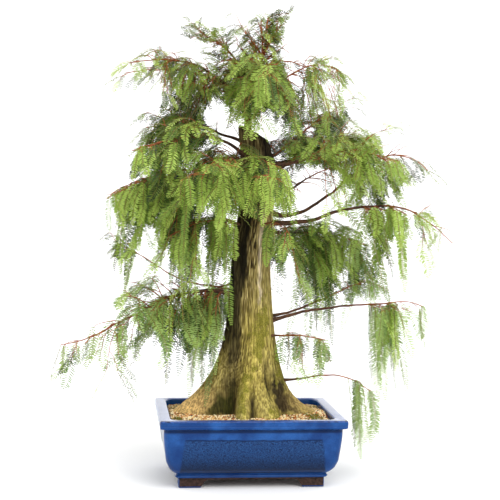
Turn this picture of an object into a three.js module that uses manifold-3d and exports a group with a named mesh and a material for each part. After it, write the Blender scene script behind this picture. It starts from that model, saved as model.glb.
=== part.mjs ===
// Bald cypress grown as a bonsai in a blue glazed rectangular pot.
// Millimetres, +Z up, standing on the undersides of the pot's four feet.
// The tree is first laid out from the middle of the pot, with +X to the right and +Y to the back.

import * as THREE from "three";
import { mergeVertices } from "three/addons/utils/BufferGeometryUtils.js";
import Module from "manifold-3d";

// Pot: outer half sizes of the rim, and heights above the surface that the feet stand on.
const RIM_HALF_LENGTH = 200;
const RIM_HALF_WIDTH = 150;
const POT_HEIGHT = 150;
const RIM_FACE = 17;
const RIM_BEVEL = 2;
const LIP_WIDTH = 24;
const FOOT_HEIGHT = 17;
const FOOT_LENGTH = 56;
const FOOT_WIDTH = 48;
const FOOT_SLANT = 9;
const FOOT_INSET = 43;
const FOOT_SUNK = 4;
const FLOOR_THICKNESS = 10;

// Each row of the pot's outside: how far it stands in from the rim, its height and its corner radius.
const POT_SKIRT = [
  { inset: 44, height: FOOT_HEIGHT, corner: 10 },
  { inset: 42, height: FOOT_HEIGHT + 5, corner: 12 },
  { inset: 36, height: FOOT_HEIGHT + 6, corner: 12 },
  { inset: 36, height: FOOT_HEIGHT + 10, corner: 12 },
  { inset: 38, height: FOOT_HEIGHT + 13, corner: 12 },
  { inset: 23, height: 42, corner: 16 },
  { inset: 15, height: 60, corner: 18 },
  { inset: 11, height: 90, corner: 18 },
  { inset: 9, height: 116, corner: 16 },
  { inset: 9, height: 127, corner: 14 },
  { inset: 6, height: POT_HEIGHT - RIM_FACE - 3, corner: 10 },
];

// The wall's inner face: how far it stands in from the rim, from the lip down to the floor.
const POT_WALL = [
  { inset: LIP_WIDTH + 2, height: POT_HEIGHT - 20 },
  { inset: LIP_WIDTH + 4, height: 60 },
  { inset: LIP_WIDTH + 24, height: FOOT_HEIGHT + FLOOR_THICKNESS },
];
const RIM_CORNER = 7;
const OPENING_CORNER = 22;
const CORNER_STEPS = 3;

// Soil: it fills the pot to just below the rim and rises a little towards the trunk.
const SOIL_EDGE = 138;
const GROUND = 147;
const MOUND_REACH = 60;
const SOIL_RINGS = 5;
const SOIL_INNERMOST = 0.4;

// Clear gap between pieces that touch.
const GAP = 0.3;

// Trunk: radius and flare. The radius falls from FLARE_RADIUS at the ground to TRUNK_RADIUS.
const TRUNK_RADIUS = 37;
const FLARE_RADIUS = 97;
const FLARE_HEIGHT = 125;
const TRUNK_DEPTH_CUT = 0.2;
const TRUNK_TOP = 790;
const TRUNK_SIDES = 20;
const TRUNK_RINGS = 18;
const TRUNK_RING_CROWDING = 1.5;

// Buttress roots: heading in degrees, how far each stands out at the ground, its half width in
// degrees, and the height over which it fades into the trunk. A negative reach is a hollow.
const BUTTRESSES = [
  { heading: 184, reach: 70, spread: 20, fade: 66 },
  { heading: -4, reach: 44, spread: 22, fade: 24 },
  { heading: 4, reach: 15, spread: 34, fade: 150 },
  { heading: -63, reach: 30, spread: 14, fade: 48 },
  { heading: -97, reach: 34, spread: 13, fade: 56 },
  { heading: -124, reach: -20, spread: 14, fade: 90 },
  { heading: -146, reach: 14, spread: 12, fade: 60 },
  { heading: 62, reach: 26, spread: 20, fade: 55 },
  { heading: 118, reach: 30, spread: 22, fade: 65 },
];

// The trunk's middle leans to the left, then to the right, and back under the leader.
const LEAN = [
  { height: 147, x: -2 },
  { height: 300, x: 2 },
  { height: 500, x: 0 },
  { height: 620, x: 11 },
  { height: 700, x: 13 },
  { height: 790, x: 5 },
];

// The cut that once took the old top off is two slanting faces that meet in one edge: where the
// edge is, and how far each face tilts down to the right.
const CUT_EDGE = { x: 31, height: 746 };
const CUT_TILTS = [27, 66];
const CUT_BLOCK = 200;

// Leader: the thinner stem that rises on the left of the cut and bears the apex.
const LEADER_X = -11;
const LEADER_BEND = 10;
const LEADER_BEND_HEIGHT = 842;
const LEADER_BEND_SPREAD = 26;
const LEADER_LEAN = 30;
const LEADER_LEAN_FROM = 850;
const LEADER_FOOT = 660;
const LEADER_BEARS_FROM = 750;
const LEADER_TOP = 940;
const LEADER_FOOT_RADIUS = 12;
const LEADER_TIP_RADIUS = 2.4;
const LEADER_RINGS = 12;
const LEADER_SIDES = 8;

// Boughs. Every limb starts on the trunk at a height and heads out in a direction in degrees, with
// 0 to the right and 90 to the back. reach is how far its leafy tip stands out from the bark, and
// rise how much higher the tip is than the base. bow lifts the middle, lag holds the inner half
// down and the outer half up, sweep bends the limb to its own left. girth is the thickness at the
// base. bare is the part of its length before the foliage, and 0 where foliage starts at the bark.
// fan is how far its side twigs stand out, twigs how many there are, spray the length of a spray of
// needles, sprays how many grow from it, and droop how they hang: -1 upright, 0 level, 1 straight down.
const BOUGHS = [
  { name: "right_lowest", height: 216, heading: -6, reach: 192, rise: -26, bow: 26, lag: 6, sweep: 0,
    girth: 5.5, bare: 0.7, fan: 40, twigs: 1, spray: 150, sprays: 5, droop: 0.96 },
  { name: "right_stub", height: 317, heading: -27, reach: 122, rise: -4, bow: 4, lag: 0, sweep: 0,
    girth: 4, bare: 0, fan: 36, twigs: 2, spray: 78, sprays: 5, droop: 0.82 },
  { name: "right_skirt", height: 350, heading: -9, reach: 326, rise: 14, bow: 30, lag: 4, sweep: 4,
    girth: 8, bare: 0.62, fan: 70, twigs: 3, spray: 122, sprays: 9, droop: 0.88 },
  { name: "right_skirt_back", height: 356, heading: 20, reach: 280, rise: 74, bow: 2, lag: 6, sweep: -4,
    girth: 7, bare: 0.68, fan: 52, twigs: 2, spray: 62, sprays: 4, droop: 0.4 },
  { name: "right_middle_low", height: 548, heading: 27, reach: 286, rise: -84, bow: 36, lag: 12, sweep: -4,
    girth: 7, bare: 0.3, fan: 88, twigs: 4, spray: 118, sprays: 10, droop: 0.92 },
  { name: "right_middle", height: 565, heading: -14, reach: 394, rise: -8, bow: 46, lag: 20, sweep: -4,
    girth: 11, bare: 0.46, fan: 80, twigs: 4, spray: 104, sprays: 10, droop: 0.86 },
  { name: "right_middle_high", height: 586, heading: 4, reach: 358, rise: 104, bow: 30, lag: 34, sweep: 12,
    girth: 10, bare: 0.55, fan: 74, twigs: 4, spray: 88, sprays: 8, droop: 0.42 },
  { name: "right_rear", height: 618, heading: 46, reach: 286, rise: 78, bow: 4, lag: 4, sweep: 5,
    girth: 8, bare: 0.4, fan: 84, twigs: 4, spray: 92, sprays: 8, droop: 0.6 },
  { name: "right_upper", height: 684, heading: -26, reach: 252, rise: 16, bow: 28, lag: 6, sweep: -6,
    girth: 9, bare: 0.34, fan: 80, twigs: 4, spray: 92, sprays: 9, droop: 0.62 },
  { name: "right_upper_back", height: 696, heading: 18, reach: 262, rise: 58, bow: 6, lag: 6, sweep: 8,
    girth: 8, bare: 0.34, fan: 74, twigs: 3, spray: 84, sprays: 7, droop: 0.5 },
  { name: "right_high", height: 708, heading: 42, reach: 236, rise: 124, bow: -4, lag: 4, sweep: 6,
    girth: 7, bare: 0.36, fan: 70, twigs: 4, spray: 76, sprays: 8, droop: 0.5 },
  { name: "top_right", height: 846, heading: -12, reach: 206, rise: 48, bow: 24, lag: 10, sweep: 4,
    girth: 6, bare: 0.36, fan: 60, twigs: 3, spray: 64, sprays: 6, droop: 0.5 },
  { name: "top_right_back", height: 884, heading: 30, reach: 170, rise: 28, bow: 30, lag: -2, sweep: 6,
    girth: 5, bare: 0, fan: 60, twigs: 3, spray: 64, sprays: 7, droop: 0.42 },
  { name: "top", height: 940, heading: 20, reach: 10, rise: 78, bow: 0, lag: 0, sweep: 0,
    girth: 4.4, bare: 0, fan: 60, twigs: 4, spray: 46, sprays: 9, droop: -0.3 },
  { name: "top_left_high", height: 868, heading: -166, reach: 112, rise: 108, bow: 26, lag: -6, sweep: 0,
    girth: 5, bare: 0, fan: 56, twigs: 3, spray: 52, sprays: 7, droop: -0.3 },
  { name: "top_left", height: 812, heading: -165, reach: 262, rise: 88, bow: 50, lag: -8, sweep: 2,
    girth: 8, bare: 0.42, fan: 60, twigs: 4, spray: 78, sprays: 9, droop: 0.5 },
  { name: "top_left_back", height: 826, heading: 150, reach: 296, rise: 74, bow: 38, lag: -4, sweep: -10,
    girth: 7, bare: 0.4, fan: 66, twigs: 4, spray: 72, sprays: 7, droop: 0.42 },
  { name: "top_back", height: 878, heading: 96, reach: 150, rise: 46, bow: 30, lag: 0, sweep: 0,
    girth: 5, bare: 0, fan: 60, twigs: 3, spray: 64, sprays: 7, droop: 0.4 },
  { name: "top_front", height: 860, heading: -80, reach: 156, rise: 8, bow: 28, lag: 0, sweep: 6,
    girth: 5, bare: 0, fan: 60, twigs: 3, spray: 98, sprays: 8, droop: 0.82 },
  { name: "left_upper_back", height: 744, heading: 148, reach: 246, rise: 34, bow: 18, lag: 0, sweep: -10,
    girth: 7, bare: 0.4, fan: 76, twigs: 4, spray: 84, sprays: 7, droop: 0.58 },
  { name: "left_upper", height: 712, heading: -156, reach: 268, rise: -2, bow: 36, lag: -4, sweep: 16,
    girth: 8, bare: 0.34, fan: 80, twigs: 4, spray: 94, sprays: 9, droop: 0.7 },
  { name: "left_front", height: 684, heading: -122, reach: 226, rise: -30, bow: 32, lag: 0, sweep: -10,
    girth: 7, bare: 0.34, fan: 76, twigs: 4, spray: 112, sprays: 8, droop: 0.86 },
  { name: "front", height: 672, heading: -92, reach: 206, rise: -22, bow: 34, lag: 0, sweep: 6,
    girth: 6, bare: 0, fan: 56, twigs: 3, spray: 108, sprays: 7, droop: 0.88 },
  { name: "left_middle", height: 656, heading: -168, reach: 296, rise: -44, bow: 38, lag: 0, sweep: 0,
    girth: 9, bare: 0.36, fan: 86, twigs: 5, spray: 112, sprays: 10, droop: 0.86 },
  { name: "left_middle_back", height: 634, heading: 146, reach: 262, rise: -20, bow: 22, lag: 0, sweep: 0,
    girth: 8, bare: 0.36, fan: 88, twigs: 4, spray: 112, sprays: 8, droop: 0.82 },
  { name: "left_weeping", height: 560, heading: -150, reach: 176, rise: -22, bow: 20, lag: 0, sweep: 10,
    girth: 5, bare: 0, fan: 60, twigs: 3, spray: 112, sprays: 6, droop: 0.92 },
  { name: "left_slender", height: 428, heading: 173, reach: 256, rise: 86, bow: -26, lag: 8, sweep: 0,
    girth: 4, bare: 0.86, fan: 30, twigs: 2, spray: 38, sprays: 5, droop: 0.3 },
  { name: "left_lowest", height: 406, heading: -171, reach: 366, rise: -86, bow: 20, lag: -12, sweep: 6,
    girth: 10, bare: 0.28, fan: 92, twigs: 6, spray: 118, sprays: 13, droop: 0.9 },
  { name: "front_weeping", height: 560, heading: -66, reach: 112, rise: -18, bow: 16, lag: 0, sweep: 0,
    girth: 4, bare: 0, fan: 38, twigs: 1, spray: 100, sprays: 4, droop: 0.92 },
  { name: "back_lowest", height: 396, heading: 102, reach: 250, rise: -36, bow: 28, lag: 0, sweep: 6,
    girth: 8, bare: 0.38, fan: 88, twigs: 4, spray: 112, sprays: 8, droop: 0.88 },
  { name: "back_left", height: 542, heading: 118, reach: 270, rise: -6, bow: 32, lag: 0, sweep: -8,
    girth: 8, bare: 0.34, fan: 90, twigs: 4, spray: 112, sprays: 8, droop: 0.84 },
  { name: "back_right", height: 500, heading: 64, reach: 274, rise: 8, bow: 30, lag: 4, sweep: 8,
    girth: 8, bare: 0.34, fan: 90, twigs: 4, spray: 112, sprays: 8, droop: 0.84 },
  { name: "back_upper", height: 664, heading: 98, reach: 240, rise: 42, bow: 24, lag: 0, sweep: 0,
    girth: 8, bare: 0.34, fan: 84, twigs: 4, spray: 94, sprays: 8, droop: 0.68 },
];

// Limbs and twigs. WAVE_TO_ONE makes a limb's lag the highest point of its wave.
const LIMB_SIDES = 5;
const LIMB_STEP = 46;
const LIMB_TAPER = 0.8;
const WAVE_TO_ONE = 10.4;
const TANGENT_STEP = 0.01;
const STEM_SIDES = 3;
const LIMB_START_INSIDE = 9;
const STEM_TIP_RADIUS = 0.9;
const TWIG_SIDES = 3;
const TWIG_STEPS = 2;
const TWIG_TANGENT_STEP = 0.02;
const TWIG_TAPER = 0.7;
const TWIG_ANGLE = 52;
const TWIG_ANGLE_SPREAD = 14;
const TWIG_LENGTH_SPREAD = [0.85, 1.2];
const TWIG_LIFT = [-0.1, 0.25];
const LIFT_WHEN_LEVEL = 1.2;
const TWIG_SAG = 0.3;
const TWIGS_FROM = 0.25;
const TWIGS_TO = 0.9;
const TWIG_SHORTEST = 0.55;
const TWIG_BEYOND_BARE = 0.03;
const ONLY_TWIG_AT = 0.4;
const TWIG_CHECKS = [0.35, 0.7, 1];

// Spray of needles: a thin toothed blade on a rachis that arches over and hangs.
const SPRAY_TEETH = 3;
const SHORT_SPRAY = 90;
const SHORT_SPRAY_TEETH = 2;
const SPRAY_INNER = 1.2;
const SPRAY_OUTER = 0.78;
const SPRAY_WIDTH = 0.3;
const SPRAY_WIDTH_FEWEST = 20;
const SPRAY_THICKNESS = 0.024;
const SPRAY_RIDGE = [0.12, 0.62];
const SPRAY_NOTCH = 0.32;
const SPRAY_TOOTH_LEAD = 0.8;
const SPRAY_SWELL_FROM = 0.36;
const SPRAY_SWELL_TO = 0.92;
const SPRAY_SAG = 0.5;
const SPRAY_ROLL = 60;
const SPRAY_TURN = 40;
const SPRAY_DROOP_SPREAD = 0.16;
const SPRAY_LENGTH_SPREAD = [0.85, 1.15];
const SPRAY_STRETCH = 0.3;
const SPRAY_TRIES = 8;
const SPRAY_SHORTER = 0.07;
const SEEDS_PER_TRY = 40;

// Places that sprays grow from, as parts of a stem's or a twig's length.
const SPRAYS_FROM_BARK = 0.3;
const SPRAYS_BEYOND_BARE = 0.02;
const SPRAYS_TO = 0.94;
const STEM_TIP_SPRAY = 0.985;
const TWIG_TIP_SPRAY = 0.96;
const TWIG_MIDDLE_SPRAY = 0.5;

// Room that a spray or a twig keeps from another mass's space, a limb, the trunk and the pot. A
// mass's space lies round a line under its stem, which starts no nearer the bark than SPACE_FROM.
const SPACE_MARGIN = 5;
const LIMB_CLEAR = 3.5;
const TRUNK_CLEAR = 6;
const POT_CLEAR = 8;
const LOWEST_LEAF = 40;
const SPRAYS_APART = 0.9;
const SPRAY_CHECK_FIRST = 0.15;
const SPRAY_CHECK_STEP = 0.17;
const SPRAY_TIP_FROM = 0.9;
const SPRAY_TIP_WIDTH = 0.3;
const SPRAY_NEIGHBOUR_CHECKS = [0.35, 0.65, 1];
const SPACE_FROM = 0.15;
const SPACE_DROP = 0.5;
const LINE_STRETCHES = 6;

const wasm = await Module();
wasm.setup();

const UP = new THREE.Vector3(0, 0, 1);
const vec = (x, y, z) => new THREE.Vector3(x, y, z);
const lerp = THREE.MathUtils.lerp;
const radians = THREE.MathUtils.degToRad;
const smoothstep = THREE.MathUtils.smoothstep;
const headingVector = (degrees) => vec(Math.cos(radians(degrees)), Math.sin(radians(degrees)), 0);

// A number from 0 to 1 that is always the same for one limb, item and use.
function chance(limb, item, use) {
  const s = Math.sin(limb * 12.9898 + item * 78.233 + use * 37.719) * 43758.5453;
  return s - Math.floor(s);
}
const between = (low, high, limb, item, use) => lerp(low, high, chance(limb, item, use));

// A closed solid from corner points and triangles.
function solid(points, triangles) {
  const vertProperties = new Float32Array(points.length * 3);
  points.forEach((p, i) => p.toArray(vertProperties, i * 3));
  const triVerts = new Uint32Array(triangles.flat());
  return new wasm.Manifold(new wasm.Mesh({ numProp: 3, vertProperties, triVerts }));
}

// A solid skinned over rings of equally many points, each anticlockwise seen from above, with its
// first and last ring closed by flat fans, round their middles where the ring has many sides.
function loft(rings) {
  const n = rings[0].length;
  const points = rings.flat();
  const triangles = [];
  for (let row = 0; row + 1 < rings.length; row++)
    for (let i = 0; i < n; i++) {
      const a = row * n + i;
      const b = row * n + ((i + 1) % n);
      triangles.push([a, b, b + n], [a, b + n, a + n]);
    }
  const last = (rings.length - 1) * n;
  if (n <= LIMB_SIDES) {
    for (let i = 1; i + 1 < n; i++) triangles.push([0, i + 1, i], [last, last + i, last + i + 1]);
    return solid(points, triangles);
  }
  const middle = (ring) => ring.reduce((sum, p) => sum.add(p), vec(0, 0, 0)).divideScalar(n);
  const bottom = points.push(middle(rings[0])) - 1;
  const top = points.push(middle(rings.at(-1))) - 1;
  for (let i = 0; i < n; i++) {
    const j = (i + 1) % n;
    triangles.push([bottom, j, i], [top, last + i, last + j]);
  }
  return solid(points, triangles);
}

// Pot.

function roundedRectangle(halfLength, halfWidth, corner, height) {
  const ring = [];
  const centres = [[1, -1], [1, 1], [-1, 1], [-1, -1]];
  centres.forEach(([sx, sy], quarter) => {
    for (let step = 0; step <= CORNER_STEPS; step++) {
      const angle = radians(-90 + 90 * (quarter + step / CORNER_STEPS));
      ring.push(vec(
        sx * (halfLength - corner) + corner * Math.cos(angle),
        sy * (halfWidth - corner) + corner * Math.sin(angle),
        height,
      ));
    }
  });
  return ring;
}
const potRing = (inset, corner, height) =>
  roundedRectangle(RIM_HALF_LENGTH - inset, RIM_HALF_WIDTH - inset, corner, height);

function potSolid() {
  const rings = POT_SKIRT.map((row) => potRing(row.inset, row.corner, row.height));
  rings.push(potRing(0, RIM_CORNER, POT_HEIGHT - RIM_FACE));
  rings.push(potRing(0, RIM_CORNER, POT_HEIGHT - RIM_BEVEL));
  rings.push(potRing(RIM_BEVEL, RIM_CORNER, POT_HEIGHT));
  rings.push(potRing(LIP_WIDTH, OPENING_CORNER, POT_HEIGHT));
  POT_WALL.forEach((row) => rings.push(potRing(row.inset, OPENING_CORNER, row.height)));
  const feet = [[1, 1], [1, -1], [-1, 1], [-1, -1]].map(([sx, sy]) => footSolid(sx, sy));
  return wasm.Manifold.union([loft(rings), ...feet]);
}

// A corner foot: upright outer sides, and inner sides that slant in towards the ground.
function footSolid(sx, sy) {
  const outerX = RIM_HALF_LENGTH - FOOT_INSET;
  const outerY = RIM_HALF_WIDTH - FOOT_INSET;
  const ring = (height, slant) => {
    const corners = [
      vec(sx * outerX, sy * outerY, height),
      vec(sx * (outerX - FOOT_LENGTH + slant), sy * outerY, height),
      vec(sx * (outerX - FOOT_LENGTH + slant), sy * (outerY - FOOT_WIDTH + slant), height),
      vec(sx * outerX, sy * (outerY - FOOT_WIDTH + slant), height),
    ];
    return sx * sy > 0 ? corners : corners.reverse();
  };
  return loft([ring(0, FOOT_SLANT), ring(FOOT_HEIGHT, 0), ring(FOOT_HEIGHT + FOOT_SUNK, 0)]);
}

// Soil, clear of the pot's walls and floor, with its top mounded towards the trunk's foot.
function soilSolid() {
  const rings = POT_WALL.map((row) => potRing(row.inset + GAP, OPENING_CORNER, row.height)).reverse();
  rings[0].forEach((p) => (p.z += GAP));
  const upper = POT_WALL[0];
  const slope = (upper.inset - LIP_WIDTH) / (POT_HEIGHT - upper.height);
  rings.push(potRing(LIP_WIDTH + slope * (POT_HEIGHT - SOIL_EDGE) + GAP, OPENING_CORNER, SOIL_EDGE));
  const edge = rings.at(-1);
  for (let step = 1; step <= SOIL_RINGS; step++) {
    const inward = lerp(1, SOIL_INNERMOST, step / SOIL_RINGS);
    rings.push(edge.map((p) => vec(p.x * inward, p.y * inward, mound(p.x * inward, p.y * inward))));
  }
  return loft(rings);
}

// Height of the soil at a place: level under the trunk, falling away beyond its flare.
function mound(x, y) {
  const out = Math.hypot(x, y) - barkRadius(Math.atan2(y, x), GROUND);
  return lerp(GROUND - GAP, SOIL_EDGE, smoothstep(out, 0, MOUND_REACH));
}

// Trunk.

function leanAt(height) {
  const above = LEAN.findIndex((row) => row.height >= height);
  if (above < 1) return height < GROUND + 1 ? LEAN[0].x : LEAN.at(-1).x;
  const low = LEAN[above - 1];
  const high = LEAN[above];
  return lerp(low.x, high.x, smoothstep(height, low.height, high.height));
}

// Distance from the trunk's middle to the bark in one direction, in radians, at one height.
function barkRadius(angle, height) {
  const up = height - GROUND;
  const round = TRUNK_RADIUS + (FLARE_RADIUS - TRUNK_RADIUS) * Math.exp(-up / FLARE_HEIGHT);
  const shallow = TRUNK_DEPTH_CUT * Math.exp(-up / FLARE_HEIGHT) * Math.sin(angle) ** 2;
  let radius = round * (1 - shallow);
  for (const b of BUTTRESSES) {
    const turn = Math.atan2(Math.sin(angle - radians(b.heading)), Math.cos(angle - radians(b.heading)));
    radius += b.reach * Math.exp(-((turn / radians(b.spread)) ** 2) - up / b.fade);
  }
  return radius;
}

function trunkPoint(angle, height, grown) {
  const radius = barkRadius(angle, height) + grown;
  return vec(leanAt(height) + radius * Math.cos(angle), radius * Math.sin(angle), height);
}

// The leader's middle line: up from inside the trunk, a bend to the left, then a lean to the right.
function leaderMiddle(height) {
  const bend = Math.exp(-(((height - LEADER_BEND_HEIGHT) / LEADER_BEND_SPREAD) ** 2));
  const lean = smoothstep(height, LEADER_LEAN_FROM, LEADER_TOP);
  return vec(LEADER_X - LEADER_BEND * bend + LEADER_LEAN * lean, 0, height);
}
function leaderRadius(height) {
  const t = (height - LEADER_FOOT) / (LEADER_TOP - LEADER_FOOT);
  return lerp(LEADER_FOOT_RADIUS, LEADER_TIP_RADIUS, t);
}

// Trunk with its slanting cut and the leader, all grown by a clearance.
function trunkSolid(grown) {
  const rings = [];
  for (let row = 0; row <= TRUNK_RINGS; row++) {
    const height = lerp(GROUND, TRUNK_TOP, (row / TRUNK_RINGS) ** TRUNK_RING_CROWDING);
    const ring = [];
    for (let i = 0; i < TRUNK_SIDES; i++) {
      const p = trunkPoint((2 * Math.PI * i) / TRUNK_SIDES, height, grown);
      if (row === 0) p.z -= grown;
      ring.push(p);
    }
    rings.push(ring);
  }
  let stump = loft(rings);
  for (const tilt of CUT_TILTS) stump = stump.subtract(cutBlock(tilt, grown));
  return stump.add(leaderSolid(grown));
}

// The block whose underside is one face of the cut.
function cutBlock(tilt, grown) {
  const block = new THREE.BoxGeometry(2 * CUT_BLOCK, CUT_BLOCK, CUT_BLOCK);
  block.translate(0, 0, CUT_BLOCK / 2 + grown);
  block.rotateY(radians(tilt));
  block.translate(CUT_EDGE.x, 0, CUT_EDGE.height);
  block.deleteAttribute("normal");
  block.deleteAttribute("uv");
  const merged = mergeVertices(block);
  const vertProperties = merged.getAttribute("position").array;
  const triVerts = new Uint32Array(merged.getIndex().array);
  return new wasm.Manifold(new wasm.Mesh({ numProp: 3, vertProperties, triVerts }));
}

function leaderSolid(grown) {
  const rings = [];
  for (let row = 0; row <= LEADER_RINGS; row++) {
    const height = lerp(LEADER_FOOT, LEADER_TOP, row / LEADER_RINGS);
    const radius = leaderRadius(height) + grown;
    const ring = [];
    for (let i = 0; i < LEADER_SIDES; i++)
      ring.push(leaderMiddle(height).addScaledVector(headingVector((360 * i) / LEADER_SIDES), radius));
    rings.push(ring);
  }
  return loft(rings);
}

// Limbs.

// Where a limb leaves the bark.
function limbBase(limb) {
  if (limb.height < LEADER_BEARS_FROM) return trunkPoint(radians(limb.heading), limb.height, 0);
  return leaderMiddle(limb.height)
    .addScaledVector(headingVector(limb.heading), leaderRadius(limb.height));
}

// A point on a limb, with t from 0 at the bark to 1 at its leafy tip.
function limbPoint(limb, t) {
  const out = headingVector(limb.heading);
  const side = vec(-out.y, out.x, 0);
  const hump = 4 * t * (1 - t);
  const wave = WAVE_TO_ONE * t * (1 - t) * (2 * t - 1);
  return limbBase(limb)
    .addScaledVector(out, limb.reach * t)
    .addScaledVector(side, limb.sweep * hump)
    .addScaledVector(UP, limb.rise * t + limb.bow * hump + limb.lag * wave);
}
function limbTangent(limb, t) {
  return limbPoint(limb, t + TANGENT_STEP).sub(limbPoint(limb, t - TANGENT_STEP)).normalize();
}
const limbRadius = (limb, t) => lerp(limb.girth / 2, STEM_TIP_RADIUS, t ** LIMB_TAPER);

// A ring of corners square to a direction.
function ringRound(middle, along, radius, sides) {
  const across = Math.abs(along.z) > 0.9 ? vec(1, 0, 0) : vec(0, 0, 1);
  const u = across.sub(along.clone().multiplyScalar(along.dot(across))).normalize();
  const v = along.clone().cross(u);
  const ring = [];
  for (let i = 0; i < sides; i++) {
    const angle = (2 * Math.PI * (i + 0.5)) / sides;
    ring.push(middle.clone()
      .addScaledVector(u, radius * Math.cos(angle))
      .addScaledVector(v, radius * Math.sin(angle)));
  }
  return ring;
}

// A tapering limb between two places on its line. It may begin inside the trunk.
function limbSolid(limb, from, to, sides, step) {
  const rows = Math.max(2, Math.round((limb.reach * (to - from)) / step));
  const rings = [];
  if (from === 0) {
    const along = limbTangent(limb, 0);
    const inside = limbPoint(limb, 0).addScaledVector(along, -LIMB_START_INSIDE);
    rings.push(ringRound(inside, along, limbRadius(limb, 0), sides));
  }
  for (let row = 0; row <= rows; row++) {
    const t = lerp(from, to, row / rows);
    rings.push(ringRound(limbPoint(limb, t), limbTangent(limb, t), limbRadius(limb, t), sides));
  }
  return loft(rings);
}

// Masses of foliage.

// Side twigs stand out to the left and right of the stem in turn, the inner ones longest.
function twigsOf(limb, k) {
  const twigs = [];
  const first = Math.max(limb.bare + TWIG_BEYOND_BARE, TWIGS_FROM);
  for (let i = 0; i < limb.twigs; i++) {
    const t = lerp(first, TWIGS_TO, limb.twigs > 1 ? i / (limb.twigs - 1) : ONLY_TWIG_AT);
    const left = (i + k) % 2 ? 1 : -1;
    const length = limb.fan * lerp(1, TWIG_SHORTEST, t) * between(...TWIG_LENGTH_SPREAD, k, i, 1);
    const swing = TWIG_ANGLE + between(-TWIG_ANGLE_SPREAD, TWIG_ANGLE_SPREAD, k, i, 2);
    const lift = between(...TWIG_LIFT, k, i, 3) * (LIFT_WHEN_LEVEL - limb.droop);
    const radius = Math.max(limbRadius(limb, t) * TWIG_TAPER, STEM_TIP_RADIUS);
    twigs.push({
      root: limbPoint(limb, t), heading: limb.heading + left * swing,
      length, lift, radius, size: spraySize(limb, t),
    });
  }
  return twigs;
}

// Sprays are longest near the inner end of the foliage and shortest at its tip.
const spraySize = (limb, t) => lerp(SPRAY_INNER, SPRAY_OUTER, (t - limb.bare) / (1 - limb.bare));

function twigPoint(twig, t) {
  return twig.root.clone()
    .addScaledVector(headingVector(twig.heading), twig.length * t)
    .addScaledVector(UP, twig.length * (twig.lift * t - TWIG_SAG * t * t));
}
function twigSolid(twig) {
  const rings = [];
  for (let row = 0; row <= TWIG_STEPS; row++) {
    const t = row / TWIG_STEPS;
    const along = twigPoint(twig, t + TWIG_TANGENT_STEP)
      .sub(twigPoint(twig, t - TWIG_TANGENT_STEP)).normalize();
    rings.push(ringRound(twigPoint(twig, t), along, lerp(twig.radius, STEM_TIP_RADIUS, t), TWIG_SIDES));
  }
  return loft(rings);
}

// The spray's rachis: it sets out along start, and its weight turns it down.
function rachisPoint(spray, t) {
  return spray.root.clone()
    .addScaledVector(spray.start, spray.length * t * (1 - SPRAY_STRETCH * spray.sag * t))
    .addScaledVector(UP, -spray.length * spray.sag * t * t);
}

// One spray's place and shape, from the twig or stem that it grows on.
function sprayAt(limb, k, i, place, attempt) {
  const seed = i + SEEDS_PER_TRY * attempt;
  const uneven = between(-SPRAY_DROOP_SPREAD, SPRAY_DROOP_SPREAD, k, seed, 5);
  const fall = radians(90 * THREE.MathUtils.clamp(limb.droop + uneven, -1, 1));
  const turn = place.heading + between(-SPRAY_TURN, SPRAY_TURN, k, seed, 6);
  const start = headingVector(turn).multiplyScalar(Math.cos(fall)).addScaledVector(UP, -Math.sin(fall));
  const shorter = 1 - SPRAY_SHORTER * attempt;
  const length = limb.spray * between(...SPRAY_LENGTH_SPREAD, k, i, 7) * place.size * shorter;
  const across = headingVector(turn + 90 + between(-SPRAY_ROLL, SPRAY_ROLL, k, seed, 8));
  const side = across.sub(start.clone().multiplyScalar(start.dot(across))).normalize();
  return { root: place.root.clone(), start, side, length, sag: SPRAY_SAG * (1 - Math.abs(start.z)) };
}

// The blade's outline runs out along one edge and back along the other, tooth by tooth, from a
// single point sunk in the twig, and its two faces rise from that edge to a ridge on the rachis.
function spraySolid(spray) {
  const wide = sprayHalfWidth(spray);
  const thick = (spray.length * SPRAY_THICKNESS) / 2;
  const face = rachisPoint(spray, SPRAY_RIDGE[1]).sub(spray.root).cross(spray.side).normalize();
  const teeth = spray.length < SHORT_SPRAY ? SHORT_SPRAY_TEETH : SPRAY_TEETH;
  const edge = [];
  for (let tooth = 0; tooth < teeth; tooth++) {
    const notch = tooth / teeth;
    const swell = Math.sin(Math.PI * lerp(SPRAY_SWELL_FROM, SPRAY_SWELL_TO, notch));
    if (tooth) edge.push({ t: notch, out: wide * SPRAY_NOTCH * swell });
    edge.push({ t: notch + SPRAY_TOOTH_LEAD / teeth, out: wide * swell });
  }
  const half = (direction) => edge.map((e) => ({ t: e.t, out: e.out * direction }));
  const outline = [{ t: 0, out: 0 }, ...half(1), { t: 1, out: 0 }, ...half(-1).reverse()];
  const points = outline.map((o) => rachisPoint(spray, o.t).addScaledVector(spray.side, o.out));
  const ridge = (lift) => SPRAY_RIDGE.map((t) =>
    points.push(rachisPoint(spray, t).addScaledVector(face, lift * thick)) - 1);
  const front = ridge(1);
  const back = ridge(-1);
  const halfway = (SPRAY_RIDGE[0] + SPRAY_RIDGE[1]) / 2;
  const triangles = [];
  outline.forEach((o, i) => {
    const j = (i + 1) % outline.length;
    const a = o.t < halfway ? 0 : 1;
    const b = outline[j].t < halfway ? 0 : 1;
    triangles.push([i, j, front[a]], [j, i, back[a]]);
    if (a !== b) triangles.push([j, front[b], front[a]], [j, back[a], back[b]]);
  });
  const blade = solid(points, triangles);
  return blade.volume() > 0 ? blade : solid(points, triangles.map(([a, b, c]) => [a, c, b]));
}
const sprayHalfWidth = (spray) => Math.max(SPRAY_WIDTH_FEWEST, spray.length * SPRAY_WIDTH) / 2;

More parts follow.
